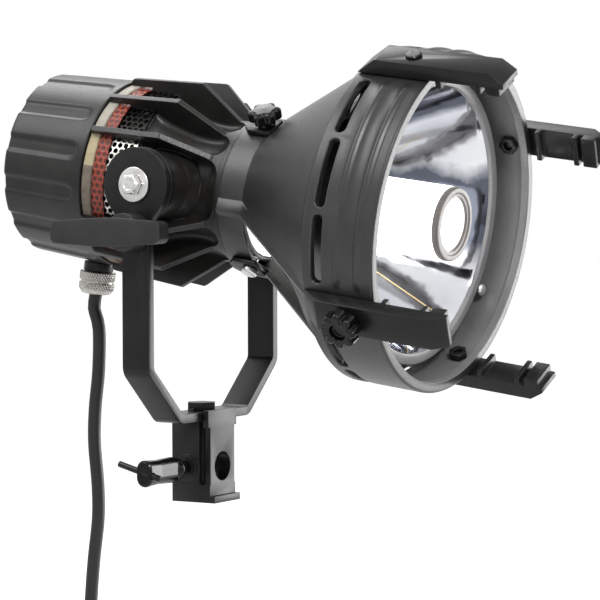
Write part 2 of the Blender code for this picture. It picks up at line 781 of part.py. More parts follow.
def screen_and_rings(head):
    inner = SHOULDER_R + GAP
    start = SHOULDER_PLACE
    screen = turned(
        "vent_screen",
        [(start, inner + SCREEN_THICK), (SCREEN_END, inner + SCREEN_THICK),
         (SCREEN_END, inner), (start, inner)],
    )
    piece(screen, BRIGHT, head, rotation=FORWARD)
    for turn in (NEAR_SIDE, FAR_SIDE):
        clear = rod("boss_clearance", PIVOT_BOSS_R + GAP, SHOULDER_R / 2, YOKE_OUTER, ROUND)
        cut(screen, tool(clear, head, rotation=turn))
    band_in = inner + SCREEN_THICK + GAP
    band = turned(
        "red_band",
        [(RED_BAND_START, band_in + RED_BAND_THICK), (SCREEN_END, band_in + RED_BAND_THICK),
         (SCREEN_END, band_in), (RED_BAND_START, band_in)],
    )
    piece(band, RED, head, rotation=FORWARD)
    seat = SLEEVE_R + GAP
    ring = turned(
        "insulator_ring",
        [(RING_START, RING_R), (RING_END, RING_R), (RING_END, seat), (RING_START, seat)],
    )
    piece(ring, CERAMIC, head, rotation=FORWARD)


def rear_cap(head):
    front = RING_END - GAP
    seat = SLEEVE_R + GAP
    seat_end = front - CAP_SEAT
    inner_front = CAP_FRONT_R - WALL
    inner_back = CAP_BACK_R - WALL
    edge = CAP_EDGE - CAP_BACK
    profile = [
        (CAP_BACK + WALL, 0),
        (CAP_BACK + WALL, inner_back),
        (seat_end, inner_front),
        (seat_end, seat),
        (front, seat),
        (front, CAP_FRONT_R),
        (CAP_EDGE, CAP_BACK_R),
        (CAP_BACK + edge * 0.3, CAP_BACK_R - edge * 0.3),
        (CAP_BACK, CAP_BACK_R - edge),
        (CAP_BACK, 0),
    ]
    body = piece(turned("rear_cap", profile, BIG_ROUND, False), CASTING, head, rotation=FORWARD)
    mid_r = (CAP_FRONT_R + CAP_BACK_R) / 2
    offset = mid_r + FLUTE_R - FLUTE_DEPTH
    end = FLUTE_START - FLUTE_R * math.sin(math.acos((offset - mid_r) / FLUTE_R))
    quarter = [math.pi / 2 * i / 4 for i in range(5)]
    nose = [(end + FLUTE_R * math.cos(a), FLUTE_R * math.sin(a)) for a in quarter]
    nose[0] = (end + FLUTE_R, 0)
    flute_profile = nose + [(CAP_BACK - EPS, FLUTE_R), (CAP_BACK - EPS, 0)]
    for number in range(FLUTES):
        angle = math.pi / 2 + math.pi / FLUTES * (2 * number + 1)
        flute = turned("flute", flute_profile, ROUND, False)
        place = (offset * math.sin(angle), 0, offset * math.cos(angle))
        cut(body, tool(flute, head, place, FORWARD))
    hole = rod("gland_hole", GLAND_SHANK_R + GAP, -CAP_FRONT_R - EPS, -CAP_BACK_R + 0.008, 24)
    cut(body, tool(hole, head, (0, -GLAND_PLACE, 0)))
    return body


def chassis(head):
    """The plate that carries the lamp socket in front and the igniter behind."""
    plate_r = SLEEVE_R - SLEEVE_WALL - GAP
    back = CHASSIS_PLACE - CHASSIS_THICK
    plate = rod("socket_plate", plate_r, back, CHASSIS_PLACE, 48)
    piece(plate, BRIGHT, head, rotation=FORWARD)
    socket_low = CHASSIS_PLACE + GAP
    socket_top = LAMP_BASE_START - GAP
    socket = rod("lamp_socket", SOCKET_R, socket_low, socket_top, 32)
    piece(socket, CERAMIC, head, rotation=FORWARD)
    width, depth, height = IGNITER
    igniter = block("igniter_block", (width, depth, height), (0, -back + GAP + depth / 2, 0))
    piece(soften(igniter, 0.002, 1), PLASTIC, head)


def lamp_and_beaker(head):
    base_end = LAMP_BASE_START + LAMP_BASE_L
    tip = ARC_PLACE + BULB_R
    around = [math.pi * (0.12 + 0.70 * i / 6) for i in range(7)]
    bulb = [(ARC_PLACE + BULB_R * math.cos(a), BULB_R * math.sin(a)) for a in around]
    profile = [(tip + 0.002, 0), (tip + 0.001, 0.0012)] + bulb
    profile += [
        (base_end + 0.004, LAMP_STEM_R),
        (base_end, LAMP_STEM_R),
        (base_end, LAMP_BASE_R),
        (LAMP_BASE_START, LAMP_BASE_R),
        (LAMP_BASE_START, 0),
    ]
    piece(turned("lamp", profile, SMALL_ROUND, False), CLEAR, head, rotation=FORWARD)
    inner = BEAKER_R - BEAKER_WALL
    beaker = turned(
        "beaker",
        [(BEAKER_END, BEAKER_R), (BEAKER_START, BEAKER_R),
         (BEAKER_START, inner), (BEAKER_END, inner)],
        ROUND,
    )
    piece(beaker, FROSTED, head, rotation=FORWARD)
    rim_low = BEAKER_END + GAP
    rim_top = rim_low + RIM_L
    rim = turned(
        "beaker_rim",
        [(rim_top, BEAKER_R - 0.0006), (rim_top - 0.0006, BEAKER_R), (rim_low, BEAKER_R),
         (rim_low, RIM_INNER_R), (rim_top, RIM_INNER_R)],
        ROUND,
    )
    piece(rim, ANODISED, head, rotation=FORWARD)
    lens_r = RIM_INNER_R - GAP
    lens_low = rim_low + GAP
    lens_edge = lens_low + LENS_EDGE
    arc = [math.pi / 2 * i / 4 for i in range(5)]
    crown = [(lens_edge + LENS_CROWN * math.cos(a), lens_r * math.sin(a)) for a in arc]
    crown[0] = (lens_edge + LENS_CROWN, 0)
    lens = turned("beaker_lens", crown + [(lens_low, lens_r), (lens_low, 0)], ROUND, False)
    piece(lens, FROSTED, head, rotation=FORWARD)
    holder_r = NECK_R - WALL - GAP
    front = NECK_FRONT - 0.001
    back = front - HOLDER_LENGTH
    holder = turned(
        "beaker_holder",
        [(front, holder_r), (back, holder_r), (back, BEAKER_R + GAP), (front, BEAKER_R + GAP)],
        ROUND,
    )
    piece(holder, BRIGHT, head, rotation=FORWARD)


def cable_gland(head):
    surface = CAP_FRONT_R - (CAP_FRONT_R - CAP_BACK_R) * 0.3 + GAP
    base_end = surface + GLAND_BASE_H
    inside = CAP_BACK_R - WALL - 0.002
    down = (math.pi, 0, 0)
    place = (0, -GLAND_PLACE, 0)
    base = turned(
        "gland_base",
        [(base_end, GLAND_R), (surface, GLAND_R), (surface, GLAND_SHANK_R),
         (inside, GLAND_SHANK_R), (inside, CORD_BORE_R), (base_end, CORD_BORE_R)],
        20,
    )
    piece(base, COATED, head, place, down)
    nut_start = base_end + GAP
    nut_end = nut_start + GLAND_NUT_H
    nut = turned(
        "gland_nut",
        [(nut_end, GLAND_NUT_R - 0.003), (nut_end - 0.0035, GLAND_NUT_R - 0.0004),
         (nut_end - 0.0045, GLAND_NUT_R), (nut_start, GLAND_NUT_R),
         (nut_start, CORD_BORE_R), (nut_end, CORD_BORE_R)],
        24,
    )
    piece(nut, BRIGHT, head, place, down)
    pitch = Matrix.Rotation(HEAD_PITCH, 4, "X")
    exit_point = pitch @ Vector((0, -GLAND_PLACE, -nut_end - GAP))
    exit_point.z += TILT_AXIS_Z
    return exit_point, pitch @ Vector((0, 0, -1))


# Cord: hand-chosen places (y, z) below the gland
CORD_ROUTE = (
    (0.0689, 0.0922), (0.0693, 0.0691), (0.0718, 0.0476), (0.0724, 0.0285),
    (0.0702, 0.0044), (0.0701, -0.0143), (0.0730, -0.0365), (0.0752, -0.0600),
    (0.0760, -0.0850), (0.0757, -0.1120), (0.0748, -0.1420), (0.0742, -0.1720),
    (0.0740, -0.2020), (0.0740, -0.2290), (0.0740, -0.2520),
)


def smooth_route(places, spacing):
    """A smooth curve through the places, sampled about every spacing."""
    line = [places[0]]
    ends = [2 * places[0] - places[1]] + places + [2 * places[-1] - places[-2]]
    for a, b, c, d in zip(ends, ends[1:], ends[2:], ends[3:]):
        count = max(1, round((c - b).length / spacing))
        for i in range(1, count + 1):
            t = i / count
            line.append(0.5 * (
                2 * b + (c - a) * t
                + (2 * a - 5 * b + 4 * c - d) * t ** 2
                + (3 * b - a - 3 * c + d) * t ** 3
            ))
    return line


def cord(exit_point, direction):
    places = [exit_point, exit_point + direction * 0.008]
    places += [Vector((0, y, z)) for y, z in CORD_ROUTE]
    line = smooth_route(places, CORD_R * 5)
    curve = wire("cable", line, CORD_R, 3)
    piece(bpy.data.objects.new("cable", curve), RUBBER)
    end = places[-1]
    top = end.z - GAP
    relief_end = top - RELIEF_L
    low = relief_end - CONNECTOR_L
    body = turned(
        "connector_body",
        [(top, 0), (top, CORD_R + 0.0010), (relief_end + 0.002, CORD_R + 0.0035),
         (relief_end, CONNECTOR_R - 0.002), (relief_end - 0.002, CONNECTOR_R),
         (low, CONNECTOR_R), (low, INSERT_R + GAP), (low + INSERT_L, INSERT_R + GAP),
         (low + INSERT_L, 0)],
        24,
        False,
    )
    piece(body, RUBBER, location=(0, end.y, 0))
    insert_top = low + INSERT_L - GAP
    insert = rod("connector_insert", INSERT_R, low + 0.0015, insert_top, 24)
    piece(insert, PLASTIC, location=(0, end.y, 0))


# Reflector housing
def barrel_profile():
    shrink = WALL * 1.15
    return [
        (BARREL_FRONT, LIP_R + 0.0010),
        (BARREL_FRONT, BARREL_R - 0.0012),
        (BARREL_FRONT - 0.0012, BARREL_R),
        (BARREL_START, BARREL_R),
        (BARREL_START - 0.0030, BARREL_R - 0.0014),
        (CONE_END, CONE_R),
        (COLLAR_END, COLLAR_R),
        (COLLAR_START, COLLAR_R),
        (COLLAR_START, COLLAR_R - WALL),
        (COLLAR_END - 0.001, COLLAR_R - WALL),
        (CONE_END, CONE_R - shrink),
        (BARREL_START - 0.0005, BARREL_INNER_R - 0.002),
        (BARREL_START + 0.0015, BARREL_INNER_R),
        (BARREL_FRONT - LIP_DEPTH, BARREL_INNER_R),
        (BARREL_FRONT - LIP_DEPTH + 0.0006, LIP_R + 0.0004),
        (BARREL_FRONT - 0.0010, LIP_R),
    ]


def cone_r(place):
    """The cone's outer radius at a place forward of the tilt axis."""
    share = (place - COLLAR_END) / (CONE_END - COLLAR_END)
    return COLLAR_R + (CONE_R - COLLAR_R) * share


def window_bars(body, spoke):
    inner = WINDOW_HALF
    outer = WINDOW_HALF + BAR_WIDTH
    rear_h = math.sqrt(COLLAR_R ** 2 - inner ** 2)
    front_h = math.sqrt(CONE_R ** 2 - inner ** 2)
    low_h = math.sqrt((COLLAR_R - WALL + 0.0008) ** 2 - inner ** 2)
    outline = [
        (COLLAR_START, low_h),
        (COLLAR_START, rear_h),
        (COLLAR_END, rear_h + 0.0006),
        (CONE_END + 0.0005, front_h + 0.0008),
        (CONE_END + 0.0005, front_h - BAR_RISE),
        (COLLAR_END, low_h),
    ]
    for sign in (-1, 1):
        low, high = sorted((sign * inner, sign * outer))
        join(body, tool(prism("window_bar", facing_back(outline), low, high, "YZ"), spoke))


def window_opening(body, spoke):
    outline = rounded([
        (-WINDOW_HALF, -WINDOW_START, 0),
        (WINDOW_HALF, -WINDOW_START, 0),
        (WINDOW_HALF, -WINDOW_END, WINDOW_CORNER),
        (-WINDOW_HALF, -WINDOW_END, WINDOW_CORNER),
    ])
    cut(body, tool(prism("window", outline, COLLAR_R / 3, CONE_R + EPS), spoke))


def barrel_slots(body, front):
    half = BARREL_R * math.sin(SLOT_SPAN / 2)
    end = SLOT_WIDTH * 0.49
    outline = rounded([
        (-half, -SLOT_PLACE - SLOT_WIDTH / 2, end),
        (half, -SLOT_PLACE - SLOT_WIDTH / 2, end),
        (half, -SLOT_PLACE + SLOT_WIDTH / 2, end),
        (-half, -SLOT_PLACE + SLOT_WIDTH / 2, end),
    ], 2)
    for ear in EAR_ANGLES:
        for number in range(SLOTS_A_SIDE):
            angle = ear + 45 + SLOT_STEP * (number - (SLOTS_A_SIDE - 1) / 2)
            slot = prism("slot", outline, BARREL_INNER_R - 2 * SLOT_WIDTH, BARREL_R + EPS)
            cut(body, tool(slot, front, rotation=(0, math.radians(angle), 0)))


def barrel_beads(body, front):
    """Raised beads round the barrel between ears, left off where the plain label area is."""
    turn_r = BARREL_R + BEAD_RISE - BEAD_R
    for ear in EAR_ANGLES:
        if ear == LABEL_EAR:
            continue
        middle = math.radians(ear + 45)
        for place in BEAD_PLACES:
            turns = [middle + BEAD_SPAN * (i / 11 - 0.5) for i in range(12)]
            arc = [(turn_r * math.sin(a), -place, turn_r * math.cos(a)) for a in turns]
            bead = mesh_from_curve("bead", wire("bead", arc, BEAD_R, 1), Matrix.Identity(4))
            join(body, tool(bead, front))


def reflector_housing(front, spokes):
    shell = turned("reflector_housing", barrel_profile(), 60)
    body = piece(shell, CASTING, front, rotation=FORWARD)
    for angle in (-WINDOW_ANGLE, WINDOW_ANGLE):
        window_bars(body, spokes(angle))
    post = facing_back([
        (POST_FRONT, POST_R + POST_THICK / 2),
        (POST_FRONT, BEZEL_R + GAP),
        (REFLECTOR_RIM - GAP, BEZEL_R + GAP),
        (REFLECTOR_RIM - GAP, MIRROR_R + WALL),
        (REFLECTOR_RIM - POST_LEDGE, MIRROR_R + WALL),
        (POST_BACK, cone_r(POST_BACK) - WALL * 0.7),
        (POST_BACK, cone_r(POST_BACK) - WALL * 0.2),
        (CONE_END, POST_R + POST_THICK / 2 - 0.001),
    ])
    for angle in POST_ANGLES:
        shape = prism("post", post, -POST_THICK / 2, POST_THICK / 2, "YZ")
        join(body, tool(shape, spokes(angle)))
        hole_low = POST_FRONT - POST_SCREW_DEPTH - GAP
        hole = rod("post_hole", BEZEL_SHANK_R + GAP, hole_low, POST_FRONT + EPS, 12)
        cut(body, tool(hole, spokes(angle), (0, 0, POST_R), FORWARD))
    barrel_beads(body, front)
    for angle in (-WINDOW_ANGLE, WINDOW_ANGLE):
        window_opening(body, spokes(angle))
    barrel_slots(body, front)
    for angle in EAR_ANGLES:
        hole_low = BARREL_INNER_R - 2 * EPS
        bolt_hole = rod("ear_hole", EAR_SCREW_R + GAP, hole_low, BARREL_R + EPS, 12)
        cut(body, tool(bolt_hole, spokes(angle), (0, -EAR_SCREW_PLACE, 0)))
    for angle in CLAMP_ANGLES:
        hole_low = COLLAR_R - WALL - 2 * EPS
        stud_hole = rod("clamp_stud_hole", CLAMP_STUD_R + GAP, hole_low, COLLAR_R + EPS, 12)
        cut(body, tool(stud_hole, spokes(angle), (0, -CLAMP_PLACE, 0)))
        pocket_r = POCKET_R if angle == CLAMP_ANGLES[0] else SMALL_POCKET_R
        pocket = rod("pocket", pocket_r, COLLAR_R, COLLAR_R + POCKET_HEIGHT, 24)
        cut(body, tool(pocket, spokes(angle), (0, -CLAMP_PLACE, 0)))
        bed = block(
            "jaw_bed",
            (JAW_WIDTH + 2 * GAP, JAW_LENGTH + 2 * GAP, BED_HEIGHT),
            (0, -CLAMP_PLACE - JAW_LEAD + JAW_LENGTH / 2, COLLAR_R + BED_HEIGHT / 2),
        )
        cut(body, tool(bed, spokes(angle)))


def parabola_r(place):
    """The mirror's radius at a place forward of the tilt axis."""
    return math.sqrt(4 * FOCAL * (place - (ARC_PLACE - FOCAL)))


def reflector(front, spokes):
    count = 7
    start_r = parabola_r(REFLECTOR_START)
    rim_r = MIRROR_R
    radii = [start_r + (rim_r - start_r) * i / count for i in range(count + 1)]
    bowl = [(ARC_PLACE - FOCAL + r ** 2 / (4 * FOCAL), r) for r in radii]
    back = [(place, r + REFLECTOR_WALL) for place, r in reversed(bowl)]
    rim_front = REFLECTOR_RIM + REFLECTOR_WALL
    flange = [(rim_front, rim_r + 0.0006), (rim_front, REFLECTOR_RIM_R),
              (REFLECTOR_RIM, REFLECTOR_RIM_R)]
    shell = turned("reflector", flange + back + bowl)
    piece(shell, MIRROR, front, rotation=FORWARD)
    bezel_low = rim_front + GAP
    bezel_top = bezel_low + BEZEL_THICK
    bezel = turned(
        "reflector_bezel",
        [(bezel_top - 0.0008, rim_r), (bezel_top, rim_r + 0.0008), (bezel_top, BEZEL_R - 0.0008),
         (bezel_top - 0.0008, BEZEL_R), (bezel_low, BEZEL_R), (bezel_low, rim_r)],
    )
    piece(bezel, ANODISED, front, rotation=FORWARD)
    for number, angle in enumerate(POST_ANGLES):
        low = bezel_top + GAP
        screw = turned(
            "bezel_screw_" + str(number + 1),
            [(low + BEZEL_SCREW_H, 0), (low + BEZEL_SCREW_H * 0.6, BEZEL_SCREW_R * 0.8),
             (low, BEZEL_SCREW_R), (low, BEZEL_SHANK_R),
             (POST_FRONT - POST_SCREW_DEPTH, BEZEL_SHANK_R), (POST_FRONT - POST_SCREW_DEPTH, 0)],
            14,
            False,
        )
        piece(screw, BRIGHT, spokes(angle), (0, 0, POST_R), FORWARD)


def ear_outline():
    outline = [
        (EAR_TAIL, EAR_SEAT),
        (EAR_TAIL_TOP, EAR_TOP),
        (EAR_FRONT - EAR_CHAMFER, EAR_TOP),
        (EAR_FRONT, EAR_TOP - EAR_CHAMFER * 0.7),
        (EAR_FRONT, EAR_SEAT),
    ]
    for rear, fore in reversed(RIB_PLACES):
        outline += [(fore, EAR_SEAT), (fore, EAR_LIP_R), (rear, EAR_LIP_R), (rear, EAR_SEAT)]
    return outline


def ears(spokes):
    half = EAR_WIDTH / 2
    outline = facing_back(ear_outline())
    nut_top = math.sqrt(BARREL_INNER_R ** 2 - (EAR_NUT / 2) ** 2) - GAP
    nut_r = EAR_NUT / 2 / math.cos(math.pi / 6)
    screw_end = nut_top - EAR_NUT_H - 0.0008
    for number, angle in enumerate(EAR_ANGLES):
        spoke = spokes(angle)
        label = str(number + 1)
        ear = piece(prism("ear_" + label, outline, -half, half, "YZ"), COATED, spoke)
        place = (0, -EAR_SCREW_PLACE, 0)
        hole = rod("ear_bore", EAR_SCREW_R + GAP, EAR_SEAT - EPS, EAR_TOP + EPS, 12)
        cut(ear, tool(hole, spoke, place))
        nut = rod("ear_nut_" + label, nut_r, nut_top - EAR_NUT_H, nut_top, 6)
        piece(nut, COATED, spoke, place)
        thread = rod("nut_bore", EAR_SCREW_R + GAP, screw_end - EPS, nut_top + EPS, 12)
        cut(nut, tool(thread, spoke, place))
        if angle == KNOB_EAR:
            ear_knob(spoke, place, screw_end)
            continue
        head_low = EAR_TOP + GAP
        screw = turned(
            "ear_screw_" + label,
            [(head_low + EAR_HEAD_H, 0), (head_low + EAR_HEAD_H, EAR_HEAD_R - 0.0006),
             (head_low + EAR_HEAD_H - 0.0006, EAR_HEAD_R), (head_low, EAR_HEAD_R),
             (head_low, EAR_SCREW_R), (screw_end, EAR_SCREW_R), (screw_end, 0)],
            16,
            False,
        )
        piece(screw, COATED, spoke, place)


def ear_knob(spoke, place, screw_end):
    axis = guide("ear_knob_axis", spoke, place)
    star = lobed_outline(EAR_KNOB_R, EAR_KNOB_LOBES, 0.003, 6)
    low = EAR_KNOB_TOP - EAR_KNOB_H
    knob = prism("ear_knob", star, low, EAR_KNOB_TOP)
    piece(knob, GLOSSY, axis)
    join(knob, tool(rod("ear_knob_hub", EAR_KNOB_HUB_R, EAR_TOP + GAP, low + 0.001, 24), axis))
    join(knob, tool(rod("ear_knob_stud", EAR_SCREW_R, screw_end, low + 0.001, 12), axis))
    recess_low = EAR_KNOB_TOP - EAR_KNOB_RECESS
    cut(knob, tool(rod("recess", 0.004, recess_low, EAR_KNOB_TOP + EPS, 20), axis))


def collar_clamp(spokes):
    jaw_low = COLLAR_R + GAP
    jaw_top = jaw_low + JAW_THICK
    front = CLAMP_PLACE + JAW_LEAD
    rear = front - JAW_LENGTH
    outline = [
        (-JAW_WIDTH / 2, -rear - JAW_TAPER),
        (-JAW_WIDTH / 2 + JAW_TAPER, -rear),
        (JAW_WIDTH / 2 - JAW_TAPER, -rear),
        (JAW_WIDTH / 2, -rear - JAW_TAPER),
        (JAW_WIDTH / 2, -front),
        (-JAW_WIDTH / 2, -front),
    ]
    stud_end = COLLAR_R - WALL - 0.0009
    for number, angle in enumerate(CLAMP_ANGLES):
        spoke = spokes(angle)
        label = str(number + 1)
        jaw = piece(prism("collar_jaw_" + label, outline, jaw_low, jaw_top), COATED, spoke)
        place = (0, -CLAMP_PLACE, 0)
        bore = rod("jaw_bore", CLAMP_STUD_R + GAP, jaw_low - EPS, jaw_top + EPS, 12)
        cut(jaw, tool(bore, spoke, place))
        if number == 0:
            collar_knob(spoke, place, jaw_top + GAP, stud_end)
            continue
        low = jaw_top + GAP
        screw = turned(
            "clamp_screw_" + label,
            [(low + CLAMP_HEAD_H, 0), (low + CLAMP_HEAD_H, CLAMP_HEAD_R - 0.0008),
             (low + CLAMP_HEAD_H - 0.0008, CLAMP_HEAD_R), (low, CLAMP_HEAD_R),
             (low, CLAMP_STUD_R), (stud_end, CLAMP_STUD_R), (stud_end, 0)],
            16,
            False,
        )
        piece(screw, BRIGHT, spoke, place)


def collar_knob(spoke, place, hub_low, stud_end):
    axis = guide("collar_knob_axis", spoke, place)
    low = KNOB_TOP - KNOB_H
    star = lobed_outline(KNOB_R, KNOB_LOBES, 0.0032, 8)
    knob = piece(prism("collar_knob", star, low, KNOB_TOP), GLOSSY, axis)
    join(knob, tool(rod("knob_hub", KNOB_STEM_R, hub_low, low + 0.001, 20), axis))
    join(knob, tool(rod("knob_stud", CLAMP_STUD_R, stud_end, low + 0.001, 12), axis))


def build():
    receiver_block()
    clamp_screw()
    base_fasteners(yoke())
    head = guide("head_pivot", None, (0, 0, TILT_AXIS_Z), (HEAD_PITCH, 0, 0))
    pivot_side("near", NEAR_SIDE, head)
    boss_face = pivot_side("far", FAR_SIDE, head)
    tilt_lever()
    lamp_housing(head, boss_face)
    screen_and_rings(head)
    rear_cap(head)
    chassis(head)
    lamp_and_beaker(head)
    cord(*cable_gland(head))
    front = guide("front_slide", head)

    def spokes(angle):
        """An empty on the lamp axis whose Z points outward at an angle from the top."""
        return guide("spoke", front, rotation=(0, math.radians(angle), 0))

    reflector_housing(front, spokes)
    reflector(front, spokes)
    ears(spokes)
    collar_clamp(spokes)


build()
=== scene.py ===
"""Looks for a small daylight spotlight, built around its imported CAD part.

Metres, +Z up. The light points along -Y. The origin is the mouth of the spigot socket.
Places along the lamp axis are forward of the tilt axis, and radii are from the lamp axis.
"""

import math

import bmesh
import bpy
from mathutils import Matrix, Vector

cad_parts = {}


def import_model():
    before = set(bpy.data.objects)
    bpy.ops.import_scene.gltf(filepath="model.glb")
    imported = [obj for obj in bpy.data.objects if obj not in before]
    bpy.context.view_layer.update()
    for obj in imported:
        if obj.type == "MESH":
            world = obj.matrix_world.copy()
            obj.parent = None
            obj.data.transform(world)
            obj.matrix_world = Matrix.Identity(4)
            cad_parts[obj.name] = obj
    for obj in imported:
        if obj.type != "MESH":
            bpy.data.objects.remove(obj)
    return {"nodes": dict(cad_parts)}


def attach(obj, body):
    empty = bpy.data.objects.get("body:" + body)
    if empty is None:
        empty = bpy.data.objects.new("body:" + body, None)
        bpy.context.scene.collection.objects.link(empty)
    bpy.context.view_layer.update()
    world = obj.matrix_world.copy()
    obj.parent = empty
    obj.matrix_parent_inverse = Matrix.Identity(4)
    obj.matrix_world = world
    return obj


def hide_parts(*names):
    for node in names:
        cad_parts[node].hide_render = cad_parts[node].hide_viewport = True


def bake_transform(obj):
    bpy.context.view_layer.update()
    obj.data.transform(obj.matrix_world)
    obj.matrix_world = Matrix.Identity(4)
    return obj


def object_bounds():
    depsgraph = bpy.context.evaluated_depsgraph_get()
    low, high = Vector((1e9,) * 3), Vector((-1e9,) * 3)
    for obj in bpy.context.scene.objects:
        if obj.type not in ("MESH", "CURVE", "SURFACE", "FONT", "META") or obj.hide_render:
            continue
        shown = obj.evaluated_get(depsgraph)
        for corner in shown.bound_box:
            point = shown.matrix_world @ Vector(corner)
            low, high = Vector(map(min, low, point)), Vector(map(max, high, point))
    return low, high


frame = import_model()
cad_low, cad_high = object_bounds()

# Camera, fitted to the photograph
CAMERA_PLACE = (-1.21151, -0.77435, 0.16485)
CAMERA_TURN = math.radians(59.538)
CAMERA_DIP = math.radians(2.209)
CAMERA_ROLL = math.radians(-0.147)
LENS = 157.81
SENSOR = 36

GAP = 0.0003    # between neighbouring pieces

# Lamp head
TILT_AXIS_Z = 0.1724
HEAD_PITCH = math.radians(7.8)

# T screw and pivots
CLAMP_Y = 0.002
CLAMP_Z = 0.019
CLAMP_SHAFT_R = 0.0032
SHAFT_START = 0.0122
GRIP_START = 0.025
GRIP_END = 0.056
GRIP_R = 0.0072
BAR_PLACE = 0.0535
BAR_R = 0.00175
BAR_SLOPE = math.radians(15)
PIVOT_R = 0.004
WASHER_R = 0.0093
WASHER_LOW = 0.0657
WASHER_TOP = 0.0673
BOLT_LOW = 0.0676
BOLT_TOP = 0.0721
PIVOT_HEX = 0.010
SHANK_END = 0.0476
DISC_TOP = 0.0603
DISC_LOW = 0.0573
DISC_R = 0.0198

# Lamp housing
FIN_ROW = tuple(25 * (i - 2.5) for i in range(6))
FIN_ANGLES = FIN_ROW + tuple(180 + angle for angle in FIN_ROW)
FIN_THICK = 0.003
FIN_R = 0.057
FIN_HEEL_R = 0.0545
SHOULDER_PLACE = -0.0145
SCREEN_END = -0.0387
BOSS_TOP = 0.057

# Vent screen: a round-hole sheet rolled into a ring
HOLE_PITCH = 0.00372
HOLE_COLUMNS = 92
HOLES_LONG = 6
HOLE_R = 0.00146
# name of the mask for painted shade in the holes under the red tape
HOLE_SHADE_MARK = "hole"
SCREEN_R = 0.0481
BAND_R = 0.0493

# Rear cap
CAP_FRONT = -0.0452
CAP_EDGE = -0.0966
CAP_BACK = -0.099
CAP_FRONT_R = 0.0519
CAP_BORE_R = 0.0448
CAP_WALL = 0.003
CAP_BACK_R = 0.0499
FLUTES = 14
FLUTE_DEPTH = 0.0013
FLUTE_HALF = math.radians(5.7)
FLUTE_START = -0.0498
FLUTE_RUNOUT = 0.0062

# Cord
CORD_R = 0.00365
GLAND_PLACE = -0.062
GLAND_BORE_R = 0.003
CORD_EXIT = (0, 0.070940, 0.111611)
CORD_AIM = (0, 0.135716, -0.990748)
CORD_ROUTE = (
    (0.0689, 0.0922), (0.0693, 0.0691), (0.0718, 0.0476), (0.0724, 0.0285),
    (0.0702, 0.0044), (0.0701, -0.0143), (0.0730, -0.0365), (0.0752, -0.0600),
    (0.0760, -0.0850), (0.0757, -0.1120), (0.0748, -0.1420), (0.0742, -0.1720),
    (0.0740, -0.2020), (0.0740, -0.2290), (0.0740, -0.2520),
)

# Reflector housing
COLLAR_R = 0.0415
COLLAR_START = 0.037
COLLAR_END = 0.052
CONE_END = 0.1125
CONE_R = 0.0812
BARREL_R = 0.0884
BARREL_START = 0.117
BARREL_INNER_R = 0.0845
BARREL_FRONT = 0.157
LIP_R = 0.0825
SHELL = 0.003
WINDOW_ANGLE = 137
WINDOW_HALF = 0.0217
WINDOW_START = 0.0525
WINDOW_END = 0.104
BAR_WIDTH = 0.0073
SLOT_PLACE = 0.125
SLOT_WIDTH = 0.0057
SLOT_SPAN = math.radians(23)
SLOT_STEP = 25.5
SLOTS_A_SIDE = 3
BEAD_PLACES = (0.1368, 0.1486)
BEAD_HALF = 0.0024
BEAD_RISE = 0.0013
BEAD_SPAN = math.radians(74)
EAR_ANGLES = (-30, -120, 60, 150)
EAR_SCREW_PLACE = 0.1465
EAR_SCREW_LOW = 0.0822
EAR_TOP = 0.0973
CLAMP_ANGLES = (-30, -150, 90)
CLAMP_PLACE = 0.050
POST_ANGLES = (119, -1, -129)
POST_R = 0.079
POST_THICK = 0.0054
POST_FRONT = 0.1387
POST_BACK = 0.104
BEZEL_R = 0.076

# Reflector
FOCAL = 0.0149
ARC_PLACE = 0.0695
REFLECTOR_START = 0.062
REFLECTOR_RIM = 0.1375
REFLECTOR_WALL = 0.0012
REFLECTOR_RIM_R = 0.0755
BEAKER_R = 0.0195
LENS_R = 0.0141

FORWARD = Matrix.Rotation(math.pi / 2, 4, "X")      # turns a piece's own Z toward the front
NEAR_SIDE = Matrix.Rotation(-math.pi / 2, 4, "Y")   # toward -X
FAR_SIDE = Matrix.Rotation(math.pi / 2, 4, "Y")     # toward +X
DOWN = Matrix.Rotation(math.pi, 4, "X")
ACROSS = Matrix.Rotation(math.pi / 2, 4, "Z") @ Matrix.Rotation(math.pi / 2, 4, "X")
HEAD = Matrix.Translation((0, 0, TILT_AXIS_Z)) @ Matrix.Rotation(HEAD_PITCH, 4, "X")
LAMP_AXIS = HEAD @ FORWARD


def spoke(angle, place=0):
    """A frame on the lamp axis whose Z points outward at an angle from the top."""
    return HEAD @ Matrix.Rotation(math.radians(angle), 4, "Y") @ Matrix.Translation((0, -place, 0))


# Meshes
def smooth_shade(made, angle=34):
    made.data.shade_smooth()
    made.data.set_sharp_from_angle(angle=math.radians(angle))
    return made


def from_bmesh(name, shape, place=Matrix.Identity(4), angle=34):
    bmesh.ops.recalc_face_normals(shape, faces=shape.faces)
    shape.transform(place)
    mesh = bpy.data.meshes.new(name)
    shape.to_mesh(mesh)
    shape.free()
    made = bpy.data.objects.new(name, mesh)
    bpy.context.scene.collection.objects.link(made)
    return smooth_shade(made, angle)


def apply_steps(made, angle=34):
    """Bakes the modifiers into the mesh."""
    solid = made.evaluated_get(bpy.context.evaluated_depsgraph_get())
    mesh = bpy.data.meshes.new_from_object(solid)
    made.modifiers.clear()
    made.data = mesh
    return smooth_shade(made, angle)


def combine(target, others, operation="DIFFERENCE"):
    """Cuts the other shapes from a target, or joins them to it, and removes them."""
    group = bpy.data.collections.new("operands")
    for other in others:
        group.objects.link(other)
    step = target.modifiers.new("combine", "BOOLEAN")
    step.operation = operation
    step.operand_type = "COLLECTION"
    step.collection = group
    step.solver = "MANIFOLD"
    apply_steps(target)
    for other in others:
        bpy.data.objects.remove(other)
    bpy.data.collections.remove(group)
    return target


